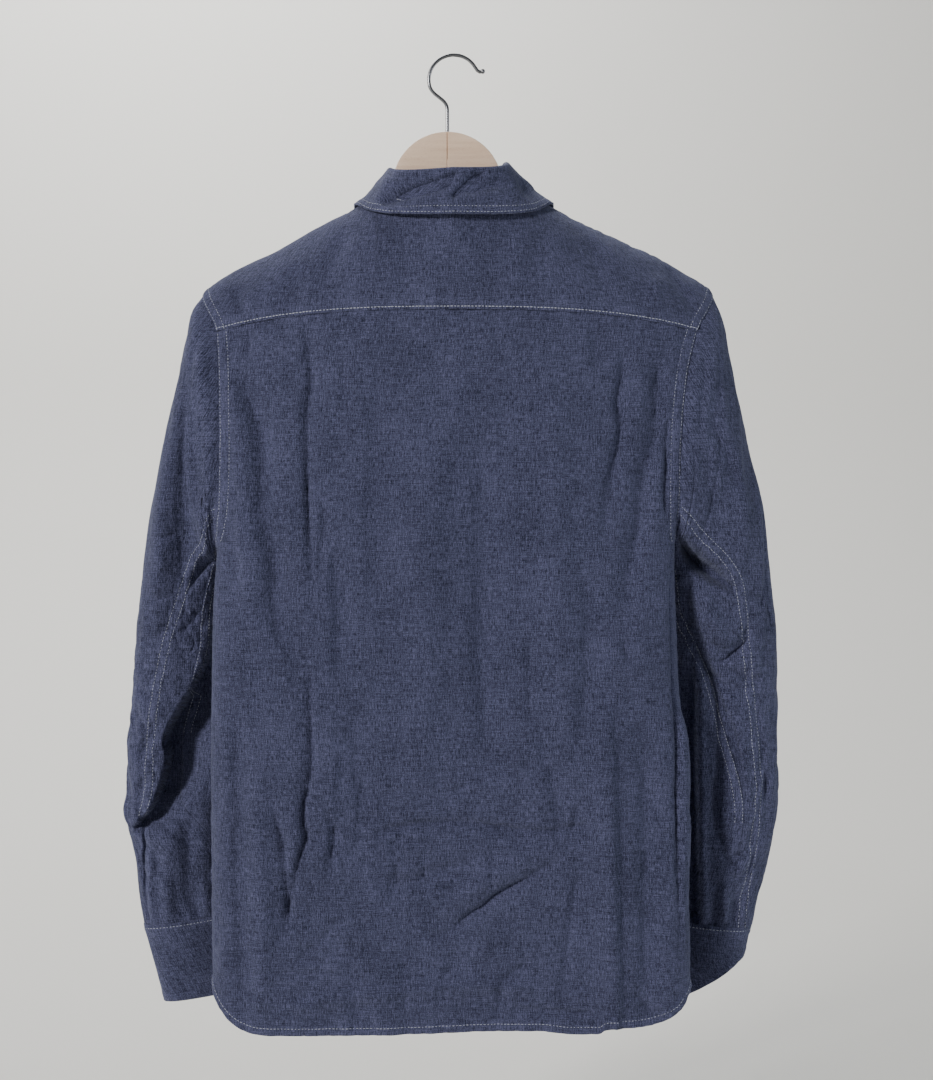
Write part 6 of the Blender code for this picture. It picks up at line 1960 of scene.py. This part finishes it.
def arm_section(x, tip, half_thick):
    """Place, middle drop, half thickness and half height of the arm at x."""
    top, under = wood_top(x), float(read(WOOD_UNDER, "out", "under_drop", abs(x - STEM_X)))
    from_end = min(abs(tip - x) / WOOD_TIP_ROUND, 1.0)
    share = math.sqrt(max(1 - (1 - from_end) ** 2, WOOD_TIP_SHARE))
    return x, (top + under) / 2, half_thick * (0.35 + 0.65 * share), (under - top) / 2 * share


def hanger_arm(side, word):
    """One arm, drawn out from its face at the joint and then rounded along its edges."""
    hanger = bpy.context.scene.shirt_hanger
    tip = side * WOOD_TIPS[0 if side == LEFT else 1]
    start = STEM_X + side * JOINT_GAP
    sections = [arm_section(float(start + (tip - start) * (1 - (1 - t) ** 1.35)), tip,
                            hanger.half_thick)
                for t in np.linspace(0, 1, WOOD_STATIONS + 1)]
    x, middle, thick, half = sections[0]
    sections[0] = x + side * JOINT_EASE[0], middle, thick, half
    thick *= JOINT_EASE[1]
    sections.insert(0, (x, middle, thick, half))
    bpy.ops.mesh.primitive_plane_add(size=2, location=(x, 0, -middle),
                                     rotation=(0, math.radians(90), 0))
    piece = added(f"hanger_{word}_wood")
    bpy.ops.object.transform_apply(location=True, rotation=True, scale=True)
    bpy.ops.object.mode_set(mode="EDIT")
    bpy.ops.mesh.select_all(action="SELECT")
    bpy.ops.transform.resize(value=(1, thick, half), center_override=(x, 0, -middle))
    for near, far in zip(sections, sections[1:]):
        bpy.ops.mesh.extrude_region_move(TRANSFORM_OT_translate={
            "value": (far[0] - near[0], 0, near[1] - far[1])})
        bpy.ops.transform.resize(value=(1, far[2] / near[2], far[3] / near[3]),
                                 center_override=(far[0], 0, -far[1]))
    bpy.ops.mesh.select_all(action="SELECT")
    bpy.ops.mesh.normals_make_consistent(inside=False)
    bpy.ops.object.mode_set(mode="OBJECT")
    weights = piece.data.attributes.new("bevel_weight_edge", "FLOAT", "EDGE")
    places = [vertex.co for vertex in piece.data.vertices]
    for edge in piece.data.edges:
        a, b = (places[k].x for k in edge.vertices)
        weights.data[edge.index].value = float(abs(a - b) > SAME_X or abs(a - tip) < SAME_X)
    finished(piece, "round", "BEVEL", width=hanger.edge_round, segments=5, limit_method="WEIGHT")
    bpy.ops.object.shade_smooth_by_angle(angle=math.radians(50))
    return piece


def build_hanger():
    for side, word in SIDES:
        dress(hanger_arm(side, word), planed_beech(), "beech", f"hanger_{word}")


HOOK_RADIUS = 0.0228
HOOK_CENTRE_DROP = 0.0212
STEM_TOP_DROP = 0.0487
STEM_END_DROP = 0.0940
HOOK_FROM = math.radians(-14)
HOOK_TO = math.radians(150)
HOOK_BEND = 0.0105
HOOK_TIP = ((-0.0022, -0.0030), (-0.0044, -0.0043), (-0.0068, -0.0036))
HOOK_BALL = 0.0023


def hook_path():
    """The wire's centre line, from inside the wood up the stem and round the hook."""
    stem = [(STEM_X, -drop) for drop in np.linspace(STEM_END_DROP, STEM_TOP_DROP, 12)]
    turn = np.linspace(HOOK_FROM, HOOK_TO, 60)
    circle = np.stack([HOOK_RADIUS * np.cos(turn), HOOK_RADIUS * np.sin(turn) - HOOK_CENTRE_DROP],
                      axis=1)
    join = circle[0]
    back = np.array([math.sin(HOOK_FROM), -math.cos(HOOK_FROM)])
    corners = (stem[-1], (STEM_X, -STEM_TOP_DROP + HOOK_BEND), join + back * HOOK_BEND, join)
    t = np.linspace(0, 1, 16)[1:-1, None]
    bend = sum(weight * np.array(corner) for weight, corner in
               zip(((1 - t) ** 3, 3 * t * (1 - t) ** 2, 3 * t * t * (1 - t), t ** 3), corners))
    tip = circle[-1] + np.array(HOOK_TIP)
    flat = np.concatenate([stem, bend, circle, tip])
    return np.stack([flat[:, 0], np.zeros(len(flat)), flat[:, 1]], axis=1)


def build_hook():
    points = hook_path()
    curve = bpy.data.curves.new("hook_wire", "CURVE")
    curve.dimensions = "3D"
    curve.bevel_depth, curve.bevel_resolution = bpy.context.scene.shirt_hanger.wire, 6
    curve.use_fill_caps = True
    line = curve.splines.new("POLY")
    line.points.add(len(points) - 1)
    line.points.foreach_set("co", np.insert(points, 3, 1, axis=1).reshape(-1))
    active(show("hook_wire", curve))
    bpy.ops.object.convert(target="MESH")
    wire = added("hook_wire")
    bpy.ops.mesh.primitive_uv_sphere_add(segments=24, ring_count=14, radius=HOOK_BALL,
                                         location=points[-1].tolist())
    wire = joined("hook_wire", wire, added("ball"))
    bpy.ops.object.shade_smooth()
    dress(wire, plated_wire(), "steel_wire", "hook")


# -------------------- stage
STAGE_REACH = 9.0
BACKDROP_TOP = 3.0
CAMERA_PLACE = (-0.01176, 1.480, -0.4439)
CAMERA_SENSOR = 36.0       # its height in millimetres, as the lens is too
CAMERA_LENS = 53.7
SKY = {"Color": (0.80, 0.87, 1.0, 1), "Strength": 0.16}
# Name, place, what it is aimed at, size, setting of its power, colour.
LAMPS = (
    ("key", (3.90, 4.10, 1.50), (0.0, 0.0, -0.45), 1.00, "key", (1, 0.97, 0.95)),
    ("fill", (-2.4, 0.50, -0.2), (0.0, 0.0, -0.45), 1.6, "fill", (0.92, 0.96, 1)),
    ("wash", (0.9, -1.2, 1.9), (0.0, -2.6, -0.6), 1.6, "backdrop_light", (1, 1, 1)),
)


def build_stage():
    setting = bpy.context.scene.shirt_stage
    bend = setting.cove
    line = [(STAGE_REACH, -setting.floor_drop)]
    line += [(bend * (1 - math.sin(turn)) - setting.backdrop_away,
              bend * (1 - math.cos(turn)) - setting.floor_drop)
             for turn in np.linspace(0, math.pi / 2, 17)]
    line.append((-setting.backdrop_away, BACKDROP_TOP))
    points = [(x, y, z) for y, z in line for x in (-STAGE_REACH, STAGE_REACH)]
    faces = [(2 * i, 2 * i + 1, 2 * i + 3, 2 * i + 2) for i in range(len(line) - 1)]
    mesh = bpy.data.meshes.new("stage_paper")
    mesh.from_pydata(points, [], faces)
    mesh.materials.append(matt_paper())
    mesh.shade_smooth()
    show("stage_paper", mesh)
    for name, place, aim, size, power, colour in LAMPS:
        lamp = bpy.data.lights.new(f"stage_{name}", "AREA")
        lamp.size, lamp.energy, lamp.color = size, getattr(setting, power), colour
        hung = show(lamp.name, lamp)
        hung.location = place
        hung.visible_camera = False
        hung.rotation_euler = (Vector(aim) - Vector(place)).to_track_quat("-Z", "Y").to_euler()
    world = bpy.data.worlds.new("soft daylight")
    bpy.context.scene.world = world
    world.use_nodes = True
    plug(world.node_tree, world.node_tree.nodes["Background"], SKY)
    camera = bpy.data.cameras.new("stage_camera")
    camera.sensor_fit = "VERTICAL"
    camera.sensor_height, camera.lens = CAMERA_SENSOR, CAMERA_LENS
    seen = show("stage_camera", camera)
    seen.location = CAMERA_PLACE
    seen.rotation_euler = (math.radians(90), 0, math.radians(180))
    bpy.context.scene.camera = seen


# -------------------- operators
class ShirtPiece:
    """What every operator here has in common."""
    bl_options = {"REGISTER", "UNDO"}


class SHIRT_OT_yoke(ShirtPiece, bpy.types.Operator):
    """Make the yoke, over both shoulders"""
    bl_idname = "shirt.yoke"
    bl_label = "Yoke"

    def execute(self, context):
        build_yoke()
        return {"FINISHED"}


class SHIRT_OT_back(ShirtPiece, bpy.types.Operator):
    """Make the back panel"""
    bl_idname = "shirt.back"
    bl_label = "Back"

    def execute(self, context):
        build_back()
        return {"FINISHED"}


class SHIRT_OT_fronts(ShirtPiece, bpy.types.Operator):
    """Make both front panels"""
    bl_idname = "shirt.fronts"
    bl_label = "Fronts"

    def execute(self, context):
        build_fronts()
        return {"FINISHED"}


class SHIRT_OT_placket(ShirtPiece, bpy.types.Operator):
    """Make the buttonhole band of the left front"""
    bl_idname = "shirt.placket"
    bl_label = "Placket"

    def execute(self, context):
        build_placket()
        return {"FINISHED"}


class SHIRT_OT_collar(ShirtPiece, bpy.types.Operator):
    """Make the collar and its stand"""
    bl_idname = "shirt.collar"
    bl_label = "Collar"

    def execute(self, context):
        build_stand()
        build_collar()
        return {"FINISHED"}


class SHIRT_OT_sleeves(ShirtPiece, bpy.types.Operator):
    """Make both sleeves"""
    bl_idname = "shirt.sleeves"
    bl_label = "Sleeves"

    def execute(self, context):
        build_sleeves()
        return {"FINISHED"}


class SHIRT_OT_cuffs(ShirtPiece, bpy.types.Operator):
    """Make both cuffs"""
    bl_idname = "shirt.cuffs"
    bl_label = "Cuffs"

    def execute(self, context):
        build_cuffs()
        return {"FINISHED"}


class SHIRT_OT_buttons(ShirtPiece, bpy.types.Operator):
    """Make one button and its thread, and copy them to every button's place"""
    bl_idname = "shirt.buttons"
    bl_label = "Buttons"

    def execute(self, context):
        build_buttons()
        return {"FINISHED"}


class SHIRT_OT_hanger(ShirtPiece, bpy.types.Operator):
    """Make the two wooden arms of the hanger"""
    bl_idname = "shirt.hanger"
    bl_label = "Hanger arms"

    def execute(self, context):
        build_hanger()
        return {"FINISHED"}


class SHIRT_OT_hook(ShirtPiece, bpy.types.Operator):
    """Make the hanger's wire hook"""
    bl_idname = "shirt.hook"
    bl_label = "Hook"

    def execute(self, context):
        build_hook()
        return {"FINISHED"}


class SHIRT_OT_stage(ShirtPiece, bpy.types.Operator):
    """Make the floor, the backdrop, the lights and the camera"""
    bl_idname = "shirt.stage"
    bl_label = "Stage"

    def execute(self, context):
        build_stage()
        return {"FINISHED"}


class SHIRT_PT_panel(bpy.types.Panel):
    """All the shirt's operators and settings"""
    bl_idname = "SHIRT_PT_panel"
    bl_label = "Shirt on a hanger"
    bl_space_type = "VIEW_3D"
    bl_region_type = "UI"
    bl_category = "Shirt"

    def draw(self, context):
        for operator in OPERATORS:
            self.layout.operator(operator.bl_idname)
        for group, name in SETTINGS:
            box = self.layout.box()
            for setting in group.__annotations__:
                box.prop(getattr(context.scene, name), setting)


OPERATORS = (SHIRT_OT_yoke, SHIRT_OT_back, SHIRT_OT_fronts, SHIRT_OT_placket, SHIRT_OT_collar,
             SHIRT_OT_sleeves, SHIRT_OT_cuffs, SHIRT_OT_buttons, SHIRT_OT_hanger, SHIRT_OT_hook,
             SHIRT_OT_stage)
SETTINGS = ((ShirtClothSettings, "shirt_cloth"), (ShirtThreadSettings, "shirt_thread"),
            (ShirtButtonSettings, "shirt_button"), (ShirtHangerSettings, "shirt_hanger"),
            (ShirtStageSettings, "shirt_stage"))


def register():
    for group, name in SETTINGS:
        bpy.utils.register_class(group)
        setattr(bpy.types.Scene, name, PointerProperty(type=group))
    for operator in OPERATORS:
        bpy.utils.register_class(operator)
    bpy.utils.register_class(SHIRT_PT_panel)


def unregister():
    bpy.utils.unregister_class(SHIRT_PT_panel)
    for operator in reversed(OPERATORS):
        bpy.utils.unregister_class(operator)
    for group, name in reversed(SETTINGS):
        delattr(bpy.types.Scene, name)
        bpy.utils.unregister_class(group)


def main():
    register()
    bpy.ops.shirt.yoke()
    bpy.ops.shirt.back()
    bpy.ops.shirt.fronts()
    bpy.ops.shirt.placket()
    bpy.ops.shirt.collar()
    bpy.ops.shirt.sleeves()
    bpy.ops.shirt.cuffs()
    bpy.ops.shirt.buttons()
    bpy.ops.shirt.hanger()
    bpy.ops.shirt.hook()
    bpy.ops.shirt.stage()


if __name__ == "__main__":
    main()
